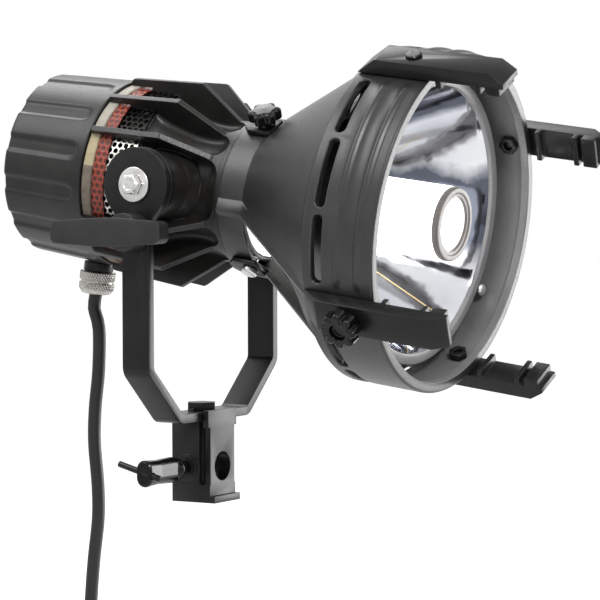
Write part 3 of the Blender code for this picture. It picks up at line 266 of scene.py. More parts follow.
def rounded(corners, steps=8):
    """An outline whose corners (x, y, radius) are rounded by arcs."""
    outline = []
    for index, (x, y, radius) in enumerate(corners):
        if radius == 0:
            outline.append((x, y))
            continue
        here = Vector((x, y))
        before = (Vector(corners[index - 1][:2]) - here).normalized()
        after = (Vector(corners[(index + 1) % len(corners)][:2]) - here).normalized()
        half = before.angle(after) / 2
        centre = here + (before + after).normalized() * radius / math.sin(half)
        start = here + before * radius / math.tan(half) - centre
        sweep = start.angle_signed(here + after * radius / math.tan(half) - centre)
        for step in range(steps + 1):
            outline.append(tuple(centre + Matrix.Rotation(-sweep * step / steps, 2) @ start))
    return outline


def dense(outline, spacing, wanted=None):
    """The closed outline with points added so that none are further apart than spacing.

    A wanted function, if any, says of an edge's two ends whether it needs them.
    """
    result = []
    for first, second in zip(outline, outline[1:] + outline[:1]):
        count = 1
        if wanted is None or wanted(first, second):
            count = max(1, math.ceil(math.dist(first, second) / spacing))
        result += [tuple(Vector(first).lerp(Vector(second), i / count)) for i in range(count)]
    return result


def turned(name, outline, place, steps=160, shape=None, angle=34):
    """Turns a closed outline of (height, radius) points about Z.

    A shape function, if any, gives each point's (height, radius) from its height, radius
    and angle. Points on the axis become one.
    """
    mesh = bmesh.new()
    rings = []
    for height, radius in outline:
        if radius < 1e-6:
            rings.append([mesh.verts.new((0, 0, height))])
            continue
        ring = []
        for i in range(steps):
            a = 2 * math.pi * i / steps
            h, r = shape(height, radius, a) if shape else (height, radius)
            ring.append(mesh.verts.new((r * math.cos(a), r * math.sin(a), h)))
        rings.append(ring)
    for low, high in zip(rings, rings[1:] + rings[:1]):
        if len(low) == 1 and len(high) == 1:
            continue
        for i in range(steps):
            j = (i + 1) % steps
            corners = [low[i % len(low)], low[j % len(low)],
                       high[j % len(high)], high[i % len(high)]]
            mesh.faces.new(list(dict.fromkeys(corners)))
    return from_bmesh(name, mesh, place, angle)


def loft(name, sections, place=Matrix.Identity(4), angle=34):
    """Joins closed sections of equally many points and caps both ends."""
    mesh = bmesh.new()
    rings = [[mesh.verts.new(point) for point in section] for section in sections]
    count = len(rings[0])
    for low, high in zip(rings, rings[1:]):
        for i in range(count):
            j = (i + 1) % count
            mesh.faces.new((low[i], low[j], high[j], high[i]))
    mesh.faces.new(rings[0])
    mesh.faces.new(rings[-1])
    return from_bmesh(name, mesh, place, angle)


def prism(name, outline, low, high, place):
    """A flat outline made solid along Z."""
    return loft(name, [[(x, y, z) for x, y in outline] for z in (low, high)], place)


def grown(outline, move):
    """The outline moved outward by a small amount, corner by corner."""
    if move == 0:
        return outline
    area = sum(a[0] * b[1] - b[0] * a[1] for a, b in zip(outline, outline[1:] + outline[:1]))
    sign = 1 if area > 0 else -1
    moved = []
    for index, point in enumerate(outline):
        here = Vector(point)
        before = (here - Vector(outline[index - 1])).normalized()
        after = (Vector(outline[(index + 1) % len(outline)]) - here).normalized()
        normal = Vector((-before.y, before.x)) * sign
        middle = (normal + Vector((-after.y, after.x)) * sign).normalized()
        moved.append(tuple(here - middle * (move / max(0.5, middle.dot(normal)))))
    return moved


def block(name, size, centre, place=Matrix.Identity(4)):
    mesh = bmesh.new()
    bmesh.ops.create_cube(mesh, size=1,
                          matrix=Matrix.Translation(centre) @ Matrix.Diagonal((*size, 1)))
    return from_bmesh(name, mesh, place)


def refined(name, finish, body, width):
    """The CAD shape of a node with every edge really rounded."""
    mesh = bmesh.new()
    mesh.from_mesh(frame["nodes"][name].data)
    bmesh.ops.remove_doubles(mesh, verts=mesh.verts, dist=1e-6)
    bmesh.ops.dissolve_limit(mesh, angle_limit=math.radians(1.5),
                             verts=mesh.verts, edges=mesh.edges)
    made = from_bmesh(name + "_piece", mesh)
    step = made.modifiers.new("round", "BEVEL")
    step.width = width
    step.segments = 3
    step.limit_method = "ANGLE"
    step.angle_limit = math.radians(35)
    dress(apply_steps(made, 50), finish, body, name)


def rod(name, radius, low, high, place, sides=48):
    """A plain round cutter or lump along Z."""
    return turned(name, [(low, 0), (low, radius), (high, radius), (high, 0)], place, sides)


def tube(name, points, radius, sides):
    """A round bar swept along points, with level rings."""
    rings = []
    side = Vector((1, 0, 0))
    for index, point in enumerate(points):
        ahead = points[min(index + 1, len(points) - 1)] - points[max(index - 1, 0)]
        ahead.normalize()
        side = (side - ahead * side.dot(ahead)).normalized()
        up = ahead.cross(side)
        turns = [2 * math.pi * i / sides for i in range(sides)]
        rings.append([point + (side * math.cos(a) + up * math.sin(a)) * radius for a in turns])
    return loft(name, rings, angle=60)


def between(value, low, high):
    """0 below low, 1 above high, with a smooth step."""
    t = min(1, max(0, (value - low) / (high - low)))
    return t * t * (3 - 2 * t)


def on_line(value, line):
    """The height at value on a line of (value, height) points."""
    for (x0, y0), (x1, y1) in zip(line, line[1:]):
        if value <= x1:
            return y0 + (y1 - y0) * (value - x0) / (x1 - x0)
    return line[-1][1]


# Materials
class Nodes:
    """A node tree and short ways to fill it."""

    def __init__(self, owner):
        owner.use_nodes = True
        self.nodes = owner.node_tree.nodes
        self.links = owner.node_tree.links

    def feed(self, socket, value):
        """Links an output to a socket, or sets the socket to a value."""
        if isinstance(value, bpy.types.NodeSocket):
            self.links.new(value, socket)
        else:
            socket.default_value = value

    def node(self, kind, **values):
        """A node with its inputs fed by name, and its other settings set."""
        made = self.nodes.new("ShaderNode" + kind)
        for name, value in values.items():
            socket = made.inputs.get(name.replace("_", " "))
            if socket is None:
                setattr(made, name, value)
            else:
                self.feed(socket, value)
        return made

    def maths(self, operation, *values):
        made = self.node("Math", operation=operation)
        for socket, value in zip(made.inputs, values):
            self.feed(socket, value)
        return made.outputs[0]

    def shaders(self, kind, first, second, output):
        """Two shaders put together by a node, which feeds the tree's output."""
        made = self.node(kind)
        for source, socket in zip((first, second), made.inputs[-2:]):
            self.feed(socket, source.outputs[0])
        self.feed(self.nodes[output].inputs["Surface"], made.outputs[0])
        return made

    def rays(self, camera, glossy, glass):
        """The share of the kind of ray that sees the surface."""
        path = self.node("LightPath").outputs
        total = 0
        for kind, share in (("Camera", camera), ("Glossy", glossy), ("Transmission", glass)):
            total = self.maths("MULTIPLY_ADD", path["Is " + kind + " Ray"], share, total)
        return total


class Finish(Nodes):
    """A Principled material with noise for colour, roughness and bump."""

    def __init__(self, name):
        self.material = bpy.data.materials.new(name)
        super().__init__(self.material)
        self.shader = self.nodes["Principled BSDF"]
        self.place = self.node("TexCoord").outputs["Object"]
        self.normal = None

    def noise(self, scale, detail=3.0, roughness=0.6, stretch=None):
        place = self.place
        if stretch:
            place = self.node("Mapping", Scale=stretch, Vector=place).outputs["Vector"]
        made = self.node("TexNoise", Scale=scale, Detail=detail, Roughness=roughness, Vector=place)
        return made.outputs["Fac"]

    def scaled(self, value, low, high, from_low=0.3, from_high=0.7):
        made = self.node("MapRange", Value=value, From_Min=from_low, From_Max=from_high,
                         To_Min=low, To_Max=high)
        return made.outputs["Result"]

    def blend_colour(self, factor, first, second):
        """Two colours, or colour outputs, mixed by a factor."""
        made = self.node("Mix", data_type="RGBA", Factor=factor)
        for socket, colour in zip(made.inputs[6:8], (first, second)):
            self.feed(socket, (*colour, 1) if isinstance(colour, tuple) else colour)
        return made.outputs[2]

    def cloudy(self, source, first, second):
        """Two colours mixed by a noise."""
        return self.blend_colour(self.scaled(source, 0, 1), first, second)

    def colour(self, first, second, factor):
        self.feed(self.shader.inputs["Base Color"], self.blend_colour(factor, first, second))

    def roughness(self, source, low, high):
        self.feed(self.shader.inputs["Roughness"], self.scaled(source, low, high))

    def turn_normal(self, made):
        self.normal = made.outputs["Normal"]
        self.feed(self.shader.inputs["Normal"], self.normal)

    def edges(self, radius):
        """Rounds every edge for the light, and returns a mask of where the edges are."""
        self.turn_normal(self.node("Bevel", samples=6, Radius=radius))
        product = self.node("VectorMath", operation="DOT_PRODUCT")
        self.feed(product.inputs[0], self.normal)
        self.feed(product.inputs[1], self.node("NewGeometry").outputs["Normal"])
        return self.scaled(product.outputs["Value"], 1, 0, 0.80, 0.995)

    def bump(self, height, distance):
        made = self.node("Bump", Strength=1, Distance=distance, Height=height)
        if self.normal:
            self.feed(made.inputs["Normal"], self.normal)
        self.turn_normal(made)

    def set(self, **values):
        for name, value in values.items():
            self.shader.inputs[name.replace("_", " ")].default_value = value
        return self


def black_metal(name, dark, light, edge_wear_and_highlight, rough, grain, grain_height, edge, shine=0.5):
    """A dark painted or cast surface with grain, mottling and paler edges, partly wear and partly a
    painted edge highlight.
    """
    made = Finish(name)
    mottle = made.noise(38, 4, 0.6)
    fine = made.noise(grain, 4, 0.7)
    mask = made.edges(edge)
    edge_wear_and_highlight_mask = made.maths("MULTIPLY", mask, made.scaled(made.noise(240, 3), 0.1, 0.8))
    # paler colour along the edges: partly wear, partly a painted highlight where edges catch the
    # light
    made.colour(made.cloudy(mottle, dark, light), edge_wear_and_highlight, edge_wear_and_highlight_mask)
    made.roughness(fine, rough - 0.06, rough + 0.08)
    made.bump(fine, grain_height)
    return made.set(Specular_IOR_Level=shine)


# The fourth colour of each finish is its paler edge colour: partly wear, partly a painted edge
# highlight.
CASTING = black_metal("black_casting", (0.009, 0.0085, 0.008), (0.024, 0.0225, 0.021),
                      (0.26, 0.255, 0.25), 0.33, 850, 0.000045, 0.0006, 0.38)
COATED = black_metal("black_coating", (0.008, 0.008, 0.0085), (0.015, 0.015, 0.016),
                     (0.22, 0.22, 0.22), 0.32, 2000, 0.000008, 0.0004, 0.25)
TEXTURED = black_metal("textured_black", (0.014, 0.014, 0.015), (0.030, 0.030, 0.031),
                       (0.14, 0.14, 0.14), 0.42, 1100, 0.000075, 0.0006, 0.40)
GLOSSY = black_metal("gloss_black", (0.004, 0.004, 0.004), (0.007, 0.007, 0.007),
                     (0.05, 0.05, 0.05), 0.14, 900, 0.000004, 0.0004, 0.28)
RUBBER = black_metal("black_rubber", (0.012, 0.012, 0.013), (0.020, 0.020, 0.021),
                     (0.05, 0.05, 0.05), 0.42, 1800, 0.00002, 0.0005, 0.40)
END_RING = black_metal("end_ring", (0.15, 0.135, 0.125), (0.24, 0.22, 0.205),
                       (0.45, 0.43, 0.41), 0.36, 1800, 0.00004, 0.0005)
PLASTIC = black_metal("grey_plastic", (0.16, 0.16, 0.165), (0.22, 0.22, 0.225),
                      (0.30, 0.30, 0.30), 0.45, 1500, 0.00005, 0.0005)
ANODISED = black_metal("grey_anodised", (0.19, 0.185, 0.19), (0.26, 0.255, 0.26),
                       (0.45, 0.45, 0.46), 0.34, 1800, 0.000010, 0.0005)


def bright_metal(name, colour, shade, rough):
    made = Finish(name)
    cloud = made.noise(160, 4, 0.6)
    made.edges(0.0004)
    made.colour(shade, colour, made.scaled(cloud, 0, 1))
    made.roughness(cloud, rough - 0.06, rough + 0.10)
    made.bump(made.noise(1900, 3, 0.6), 0.000006)
    return made.set(Metallic=1.0)


BRIGHT = bright_metal("bright_metal", (0.80, 0.80, 0.78), (0.62, 0.61, 0.60), 0.30)


def in_head(made):
    """A point's place in the lamp head: across, behind the tilt axis, and up."""
    turn = made.node("Mapping", Location=HEAD.inverted().translation, Rotation=(-HEAD_PITCH, 0, 0),
                     Vector=made.place)
    return made.node("SeparateXYZ", Vector=turn.outputs["Vector"]).outputs


def screen_finish():
    """Bright sheet beside the pivots, with painted shade under the fins."""
    made = Finish("silver_screen")
    cloud = made.noise(160, 4, 0.6)
    made.edges(0.0003)
    painted_fin_shade = made.scaled(made.maths("ABSOLUTE", in_head(made)["Z"]), 0, 1, 0.0185, 0.0215)
    # near-black painted shade where the fins shadow the sheet and darken its reflection
    made.colour(made.cloudy(cloud, (0.55, 0.53, 0.50), (0.80, 0.78, 0.74)),
                (0.018, 0.017, 0.016), painted_fin_shade)
    made.roughness(cloud, 0.26, 0.42)
    return made.set(Metallic=1.0)


SCREEN = screen_finish()


def mirror_finish():
    """Bright spun sheet with a painted dark reflection on its far side."""
    made = Finish("mirror")
    across, _, up = in_head(made)
    drift = made.maths("ADD", up, made.maths("MULTIPLY", made.noise(40, 4, 0.6), 0.02))
    low = made.scaled(drift, 0, 1, -0.022, -0.004)
    high = made.scaled(drift, 1, 0, 0.030, 0.040)
    far = made.scaled(across, 0, 1, 0.004, 0.014)
    painted_dark_reflection = made.maths("MULTIPLY", made.maths("MULTIPLY", low, high), far)
    sheet = made.cloudy(made.noise(26, 3, 0.5, (1, 0.25, 1)),
                        (0.66, 0.67, 0.71), (0.90, 0.91, 0.93))
    # the dark blue-grey is a painted reflection of dark surroundings on the far side of the bowl
    made.colour(sheet, (0.10, 0.11, 0.14), painted_dark_reflection)
    made.roughness(made.noise(90, 3), 0.04, 0.11)
    made.bump(made.noise(55, 2), 0.00012)
    return made.set(Metallic=1.0)


def frosted_finish():
    made = Finish("frosted_glass")
    cloud = made.noise(70, 3)
    made.colour((0.90, 0.90, 0.88), (0.97, 0.97, 0.95), made.scaled(cloud, 0, 1))
    made.roughness(cloud, 0.30, 0.42)
    made.bump(made.noise(1700, 3), 0.00004)
    return made.set(Emission_Color=(1, 0.99, 0.97, 1), Emission_Strength=2.2)


def lens_finish():
    """Frosted glass with a honeycomb of small cells."""
    made = Finish("lens_glass")
    cells = made.node("TexVoronoi", Scale=900, Randomness=0.15, Vector=made.place)
    cell = made.scaled(cells.outputs["Distance"], 0, 1, 0.2, 0.75)
    made.colour((0.95, 0.94, 0.93), (0.62, 0.60, 0.58), cell)
    made.roughness(made.noise(300, 2), 0.16, 0.30)
    made.bump(cell, 0.0002)
    return made.set(Emission_Color=(1, 0.98, 0.97, 1), Emission_Strength=0.45)


def clear_finish():
    made = Finish("clear_glass")
    made.colour((0.86, 0.88, 0.89), (0.95, 0.96, 0.97), made.scaled(made.noise(90, 2), 0, 1))
    made.roughness(made.noise(200, 2), 0.02, 0.07)
    return made.set(Transmission_Weight=0.8, IOR=1.46)


def ceramic_finish():
    """Fibre board: cream on top, a yellower length on the near side, grey-brown below."""
    made = Finish("cream_fibre")
    streak = made.noise(220, 5, 0.65, (1, 0.35, 1))
    pores = made.noise(700, 3, 0.7)
    up = in_head(made)["Z"]
    cream = made.cloudy(streak, (0.42, 0.38, 0.31), (0.58, 0.55, 0.48))
    yellow = made.cloudy(streak, (0.46, 0.38, 0.22), (0.60, 0.52, 0.34))
    brown = made.cloudy(streak, (0.13, 0.105, 0.08), (0.27, 0.23, 0.18))
    upper = made.blend_colour(made.scaled(up, 0, 1, 0.0222, 0.0226), yellow, cream)
    whole = made.blend_colour(made.scaled(up, 0, 1, 0.0048, 0.0054), brown, upper)
    made.colour(whole, (0.30, 0.24, 0.16), made.scaled(pores, 0, 0.8, 0.58, 0.75))
    made.roughness(streak, 0.50, 0.75)
    made.bump(pores, 0.00015)
    return made


def red_finish():
    """Red tape, with painted shade where it dips into the holes of the sheet under it."""
    made = Finish("red_tape")
    cloud = made.noise(150, 4)
    hole = made.node("Attribute", attribute_name=HOLE_SHADE_MARK).outputs["Fac"]
    red = made.cloudy(cloud, (0.30, 0.040, 0.022), (0.48, 0.085, 0.045))
    # darker red over the holes is painted shade of the holes
    made.colour(red, (0.085, 0.016, 0.012), hole)
    made.roughness(cloud, 0.34, 0.52)
    made.bump(made.noise(900, 3), 0.00008)
    return made


def machined_casting():
    """The casting with fine turned lines on the cone."""
    made = black_metal("turned_casting", (0.013, 0.0125, 0.0125), (0.028, 0.027, 0.027),
                       (0.28, 0.275, 0.27), 0.35, 1000, 0.000030, 0.0006, 0.60)
    along = in_head(made)["Y"]
    wave = made.maths("SINE", made.maths("MULTIPLY", along, 2 * math.pi / 0.0011))
    rear = made.scaled(along, 0, 1, -0.058, -0.060)
    fore = made.scaled(along, 1, 0, -0.106, -0.108)
    made.bump(made.maths("MULTIPLY", wave, made.maths("MULTIPLY", rear, fore)), 0.000018)
    return made


# The inside of the barrel is the same black casting, painted much lighter to stand in for the
# lamp's glow lighting it.
INNER_WALL_PAINTED_LIGHT = black_metal("inner_wall_painted_light", (0.14, 0.138, 0.14), (0.20, 0.197, 0.20),
                         (0.30, 0.30, 0.30), 0.34, 1000, 0.00003, 0.0006, 0.6)
NICKEL = bright_metal("nickel", (0.56, 0.54, 0.51), (0.34, 0.33, 0.31), 0.24)
BRASS = bright_metal("brass", (0.78, 0.60, 0.30), (0.60, 0.44, 0.20), 0.30)
MIRROR = mirror_finish()
SPUN_BACK = bright_metal("spun_back", (0.16, 0.16, 0.165), (0.10, 0.10, 0.105), 0.42)
FROSTED = frosted_finish()
LENS_GLASS = lens_finish()
CLEAR = clear_finish()
CREAM = ceramic_finish()
RED = red_finish()
TURNED_CASTING = machined_casting()


def dress(made, finish, body, *nodes):
    """Gives a piece its material and its body, and shows it in place of its CAD nodes."""
    made.data.materials.clear()
    made.data.materials.append(finish.material)
    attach(made, body)
    if nodes:
        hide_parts(*nodes)
    return made


# Camera
def make_camera():
    data = bpy.data.cameras.new("photo_camera")
    data.lens = LENS
    data.sensor_width = SENSOR
    data.clip_start = 0.05
    data.clip_end = 40
    made = bpy.data.objects.new("photo_camera", data)
    bpy.context.scene.collection.objects.link(made)
    aim = Matrix.Rotation(-CAMERA_TURN, 4, "Z") @ Matrix.Rotation(math.pi / 2 - CAMERA_DIP, 4, "X")
    made.matrix_world = (
        Matrix.Translation(CAMERA_PLACE) @ aim @ Matrix.Rotation(CAMERA_ROLL, 4, "Z")
    )
    bpy.context.scene.camera = made


# Cord
def smooth_route(places, spacing):
    """A smooth curve through the places, sampled about every spacing."""
    line = [places[0]]
    ends = [2 * places[0] - places[1]] + places + [2 * places[-1] - places[-2]]
    for a, b, c, d in zip(ends, ends[1:], ends[2:], ends[3:]):
        count = max(1, round((c - b).length / spacing))
        for i in range(1, count + 1):
            t = i / count
            line.append(0.5 * (
                2 * b + (c - a) * t
                + (2 * a - 5 * b + 4 * c - d) * t ** 2
                + (3 * b - a - 3 * c + d) * t ** 3
            ))
    return line


def cord():
    exit_point = Vector(CORD_EXIT)
    places = [exit_point, exit_point + Vector(CORD_AIM) * 0.008]
    places += [Vector((0, y, z)) for y, z in CORD_ROUTE]
    line = smooth_route(places, CORD_R)
    made = tube("cord", line, CORD_R, 28)
    made.data.materials.append(RUBBER.material)
    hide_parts("cable")
    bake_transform(made)
    body, insert = connector(places[-1])


def connector(end):
    """The in-line connector on the cord's end: ribbed relief, body with grip rings, pins."""
    top = end.z - GAP
    relief_end = top - 0.014
    low = relief_end - 0.034
    radius = 0.0135
    outline = rounded([
        (top, 0, 0),
        (top, CORD_R + 0.0010, 0.0004),
        (relief_end + 0.002, CORD_R + 0.0035, 0.001),
        (relief_end, radius - 0.002, 0.0008),
        (relief_end - 0.002, radius, 0.001),
        (low, radius, 0.0008),
        (low, 0.0108, 0.0004),
        (low + 0.008, 0.0108, 0),
        (low + 0.008, 0, 0),
    ], 4)

    def grip(height, r, angle):
        if r > CORD_R and height > relief_end + 0.002:
            wave = math.cos(2 * math.pi * (height - top) / 0.0028)
            return height, r - 0.0005 * (0.5 + 0.5 * wave)
        if r > 0.012 and relief_end - 0.024 < height < relief_end - 0.006:
            return height, r - 0.0006 * between(math.cos(18 * angle), 0.1, 0.6)
        return height, r

    place = Matrix.Translation((0, end.y, 0))
    body = turned("connector_shell", dense(outline, 0.0006), place, 216, grip)
    dress(body, RUBBER, "yoke", "connector_body")
    insert_low = low + 0.0015
    insert = turned("connector_face", rounded([
        (insert_low, 0, 0), (insert_low, 0.0105, 0.0004),
        (low + 0.0077, 0.0105, 0.0004), (low + 0.0077, 0, 0),
    ], 3), place, 96)
    turns = [math.pi / 3 * i for i in range(6)]
    holes = [
        rod("pin_hole", 0.0013, insert_low - 0.001, insert_low + 0.003,
            Matrix.Translation((0.0062 * math.cos(a), end.y + 0.0062 * math.sin(a), 0)), 24)
        for a in turns
    ]
    combine(insert, holes)
    dress(insert, PLASTIC, "yoke", "connector_insert")
    return body, insert


# Stage
def floor():
    """A wide pale floor under the connector, white to the camera except for its shadow."""
    mesh = bmesh.new()
    bmesh.ops.create_grid(mesh, x_segments=2, y_segments=2, size=12,
                          matrix=Matrix.Translation((0, 0, cad_low.z - 0.002)))
    made = from_bmesh("floor", mesh)
    pale = Finish("pale_floor").set(Base_Color=(0.86, 0.86, 0.86, 1), Roughness=0.9)
    glow = pale.node("Emission", Strength=pale.rays(0.74, 0.15, 0.15))
    pale.shaders("AddShader", pale.shader, glow, "Material Output")
    made.data.materials.append(pale.material)


def world():
    """Soft even light, which the camera, glossy and glass rays see as white."""
    made = bpy.data.worlds.new("studio")
    bpy.context.scene.world = made
    tree = Nodes(made)
    soft = tree.node("Background", Color=(0.98, 0.99, 1.0, 1), Strength=0.30)
    white = tree.node("Background", Color=(1, 1, 1, 1), Strength=1.0)
    mixed = tree.shaders("MixShader", soft, white, "World Output")
    tree.feed(mixed.inputs["Fac"], tree.rays(1, 1, 1))


def softbox(name, place, aim, size, power):
    data = bpy.data.lights.new(name, "AREA")
    data.shape = "RECTANGLE"
    data.size, data.size_y = size
    data.energy = power
    made = bpy.data.objects.new(name, data)
    bpy.context.scene.collection.objects.link(made)
    made.location = place
    made.rotation_euler = (Vector(aim) - Vector(place)).to_track_quat("-Z", "Y").to_euler()


def lights():
    centre = (0, -0.03, 0.12)
    softbox("key", (-0.925, -1.29, 1.24), centre, (0.5, 0.5), 17)
    softbox("back_left", (-1.0, 0.85, 1.6), centre, (1.0, 1.0), 15)
    softbox("front_right", (1.5, -1.05, 0.05), centre, (1.0, 1.2), 28)
    softbox("top", (0.75, 0.87, 1.75), centre, (1.1, 1.1), 16)


# Lamp housing
HOUSING_TOP = [
    (-0.0444, 0.0508, 0.0004), (-0.0444, 0.0530, 0.0006), (-0.0429, FIN_HEEL_R, 0.0006),
    (0.002, FIN_R, 0.0012), (0.026, 0.0387, 0.003), (0.0327, 0.0387, 0),
    (0.0327, 0.0395, 0.0003), (0.0367, 0.0395, 0.0006), (0.0367, 0.036, 0.0002),
    (0.049, 0.036, 0.0005), (0.049, 0.033, 0.0003),
]
HOUSING_BORE = [
    (0.0327, 0.033, 0), (0.020, 0.031, 0), (0.008, 0.0322, 0), (0, 0.035, 0),
    (SHOULDER_PLACE, 0.042, 0), (-0.060, 0.042, 0.0003), (-0.060, 0.0445, 0.0003),
    (-0.020, 0.0445, 0), (-0.020, 0.0472, 0), (SHOULDER_PLACE + 0.0004, 0.0472, 0),
    (SHOULDER_PLACE + 0.0004, 0.0490, 0), (-0.0310, 0.0490, 0), (-0.0310, 0.0508, 0),
]
POCKET_FLOOR = [
    (-0.060, 0.0484), (-0.0146, 0.0484), (-0.0144, 0.0472), (-0.012, 0.0442), (-0.006, 0.0405),
    (0, 0.0379), (0.004, 0.0364), (0.008, 0.0352), (0.014, 0.0343), (0.020, 0.0340),
    (0.026, 0.0347), (0.0297, 0.0360), (0.034, 0.0360),
]
POCKET_END = 0.0325


def fin_pocket(first, second, corner):
    """A cutter for the space between two fins, with rounded corners at the neck."""
    half_angle = math.radians((second - first) / 2)
    along = Vector((-math.sin(half_angle), math.cos(half_angle)))
    inward = Vector((math.cos(half_angle), math.sin(half_angle)))
    places = [-0.047, -0.03, SHOULDER_PLACE - 0.0002, SHOULDER_PLACE + 0.0002]
    places += [-0.0135 + i * 0.002 for i in range(18)]
    places += [POCKET_END - corner * (1 - math.sin(math.pi / 2 * i / 8)) for i in range(9)]
    sections = []
    for place in sorted(p for p in set(places) if p <= POCKET_END - 0.0001):
        into = max(0, place - (POCKET_END - corner))
        side = corner - math.sqrt(max(0, corner ** 2 - into ** 2))
        floor_r = on_line(place, POCKET_FLOOR) + side * 0.35
        root = 0.0032 if place > -0.0140 else 0.0008
        centre_r = floor_r + root
        widest = math.sin(half_angle) * centre_r - root - FIN_THICK / 2 - 0.0004
        offset = FIN_THICK / 2 + min(side, widest)
        reach = math.sqrt(centre_r ** 2 - (offset + root) ** 2)
        centre = along * reach + inward * (offset + root)
        sweep = (-inward).angle_signed((-centre).normalized())
        wall = [along * 0.075 + inward * offset, along * (reach + 0.004) + inward * offset]
        wall += [centre + Matrix.Rotation(-sweep * i / 4, 2) @ -inward * root for i in range(5)]
        floor_angle = half_angle - math.asin((offset + root) / centre_r)
        arc = [-floor_angle + 2 * floor_angle * i / 6 for i in range(1, 6)]
        section = [(x, -place, z) for x, z in wall]
        section += [(floor_r * math.sin(a), -place, floor_r * math.cos(a)) for a in arc]
        sections.append(section + [(-x, -place, z) for x, z in reversed(wall)])
    return loft("fin_pocket", sections, spoke((first + second) / 2))


def lamp_housing():
    """The finned casting: pockets between the fins, pivot bosses, and the bore."""
    body = turned("lamp_housing_casting", rounded(HOUSING_TOP + HOUSING_BORE, 4), LAMP_AXIS, 144)
    pockets = []
    for first, second in zip(FIN_ANGLES, FIN_ANGLES[1:] + (FIN_ANGLES[0] + 360,)):
        beside_boss = second - first > 40
        pockets.append(fin_pocket(first, second, 0.0095 if beside_boss else 0.0072))
    combine(body, pockets)
    boss = rounded([
        (0.034, 0, 0), (0.034, 0.0205, 0), (0.0405, 0.0187, 0.004),
        (0.0425, 0.018, 0.004), (BOSS_TOP, 0.018, 0.0006), (BOSS_TOP, 0, 0),
    ])
    bore = [(-0.062, 0), (-0.062, 0.042), (SHOULDER_PLACE, 0.042), (0, 0.035), (0, 0)]
    sides = [HEAD @ turn for turn in (NEAR_SIDE, FAR_SIDE)]
    combine(body, [turned("pivot_boss", boss, side, 96) for side in sides], "UNION")
    combine(body, [turned("bore", bore, LAMP_AXIS, 160)])
    hole_r = PIVOT_R + GAP
    combine(body, [rod("pivot_hole", hole_r, 0.0450, BOSS_TOP + 0.003, side) for side in sides])
    dress(body, CASTING, "head", "lamp_housing")


def perforated_sheet(name, radius, thick, end):
    """Closed ring of sheet metal with round holes, every second column half a pitch on."""
    step_angle = 2 * math.pi / HOLE_COLUMNS
    wide = HOLE_R / (radius * step_angle)
    tall = HOLE_R / HOLE_PITCH
    mesh = bmesh.new()
    shared = {}

    def point(column, row):
        a = step_angle * column
        return mesh.verts.new((radius * math.cos(a), radius * math.sin(a), end + row * HOLE_PITCH))

    def corner(column, row):
        """A point that neighbouring cells share."""
        key = (round(column * 2) % (HOLE_COLUMNS * 2), round(row * 2))
        if key not in shared:
            shared[key] = point(column, row)
        return shared[key]

    for column in range(HOLE_COLUMNS):
        shift = 0.5 * (column % 2)
        low = 0 if shift else HOLES_LONG
        half_cell = ((0, 0), (0.5, 0), (1, 0), (1, 0.5), (0.5, 0.5), (0, 0.5))
        mesh.faces.new([corner(column + s, low + t) for s, t in half_cell])
        for row in range(HOLES_LONG):
            bottom = row + shift
            rim = ((0, 0), (0.5, 0), (1, 0), (1, 0.5), (1, 1), (0.5, 1), (0, 1), (0, 0.5))
            outer = [corner(column + s, bottom + t) for s, t in rim]
            turns = [math.radians(-135 + 22.5 * i) for i in range(16)]
            hole = [point(column + 0.5 + wide * math.cos(a), bottom + 0.5 + tall * math.sin(a))
                    for a in turns]
            for i in range(8):
                j = (i + 1) % 8
                mesh.faces.new((outer[i], outer[j], hole[2 * j], hole[2 * i + 1], hole[2 * i]))
    made = from_bmesh(name, mesh, LAMP_AXIS)
    step = made.modifiers.new("thickness", "SOLIDIFY")
    step.thickness = thick
    step.offset = 0
    step.use_even_offset = True
    return apply_steps(made)


def hole_share(height, angle):
    """1 in the middle of a hole of the screen below, 0 between holes."""
    column = angle / (2 * math.pi) * HOLE_COLUMNS
    row = (height - SCREEN_END) / HOLE_PITCH - 0.5 * (math.floor(column) % 2)
    across = ((column % 1) - 0.5) * 2 * math.pi * BAND_R / HOLE_COLUMNS
    along = ((row % 1) - 0.5) * HOLE_PITCH
    return 1 - between(math.hypot(across, along), HOLE_R * 0.75, HOLE_R * 1.1)


def screen_and_rings():
    """The sheet, the tape on its rear end and the fibre band behind it."""
    screen = perforated_sheet("vent_screen_sheet", SCREEN_R, 0.0009, SCREEN_END)
    sides = [HEAD @ turn for turn in (NEAR_SIDE, FAR_SIDE)]
    combine(screen, [rod("clearance", 0.0183, 0.030, 0.065, side, 96) for side in sides])
    dress(screen, SCREEN, "head", "vent_screen")

    def dimpled(height, r, angle):
        return height, r - (0.00030 * hole_share(height, angle) if r > BAND_R else 0)

    band = turned("red_band_tape", dense(rounded([
        (-0.0313, 0.0496, 0.0001), (-0.0313, 0.0490, 0.0001),
        (SCREEN_END, 0.0490, 0.0001), (SCREEN_END, 0.0496, 0.0001),
    ], 2), 0.0005), LAMP_AXIS, HOLE_COLUMNS * 8, dimpled)
    # mark where the painted hole shade goes on the tape
    mark = band.data.attributes.new(HOLE_SHADE_MARK, "FLOAT", "POINT")
    to_axis = LAMP_AXIS.inverted()
    for vertex, value in zip(band.data.vertices, mark.data):
        local = to_axis @ vertex.co
        value.value = hole_share(local.z, math.atan2(local.y, local.x) % (2 * math.pi))
    dress(band, RED, "head", "red_band")

    def uneven(height, r, angle):
        if r < 0.050:
            return height, r
        wave = 0.5 + 0.5 * math.sin(5 * angle + 1.1)
        return height, r - 0.00018 * wave * between(math.sin(9 * angle), -1, 1)

    ring = turned("insulator_band", dense(rounded([
        (-0.039, 0.0505, 0.0005), (-0.0449, 0.0505, 0.0005),
        (-0.0449, CAP_BORE_R, 0.0003), (-0.039, CAP_BORE_R, 0.0003),
    ], 4), 0.001), LAMP_AXIS, 240, uneven)
    dress(ring, CREAM, "head", "insulator_ring")


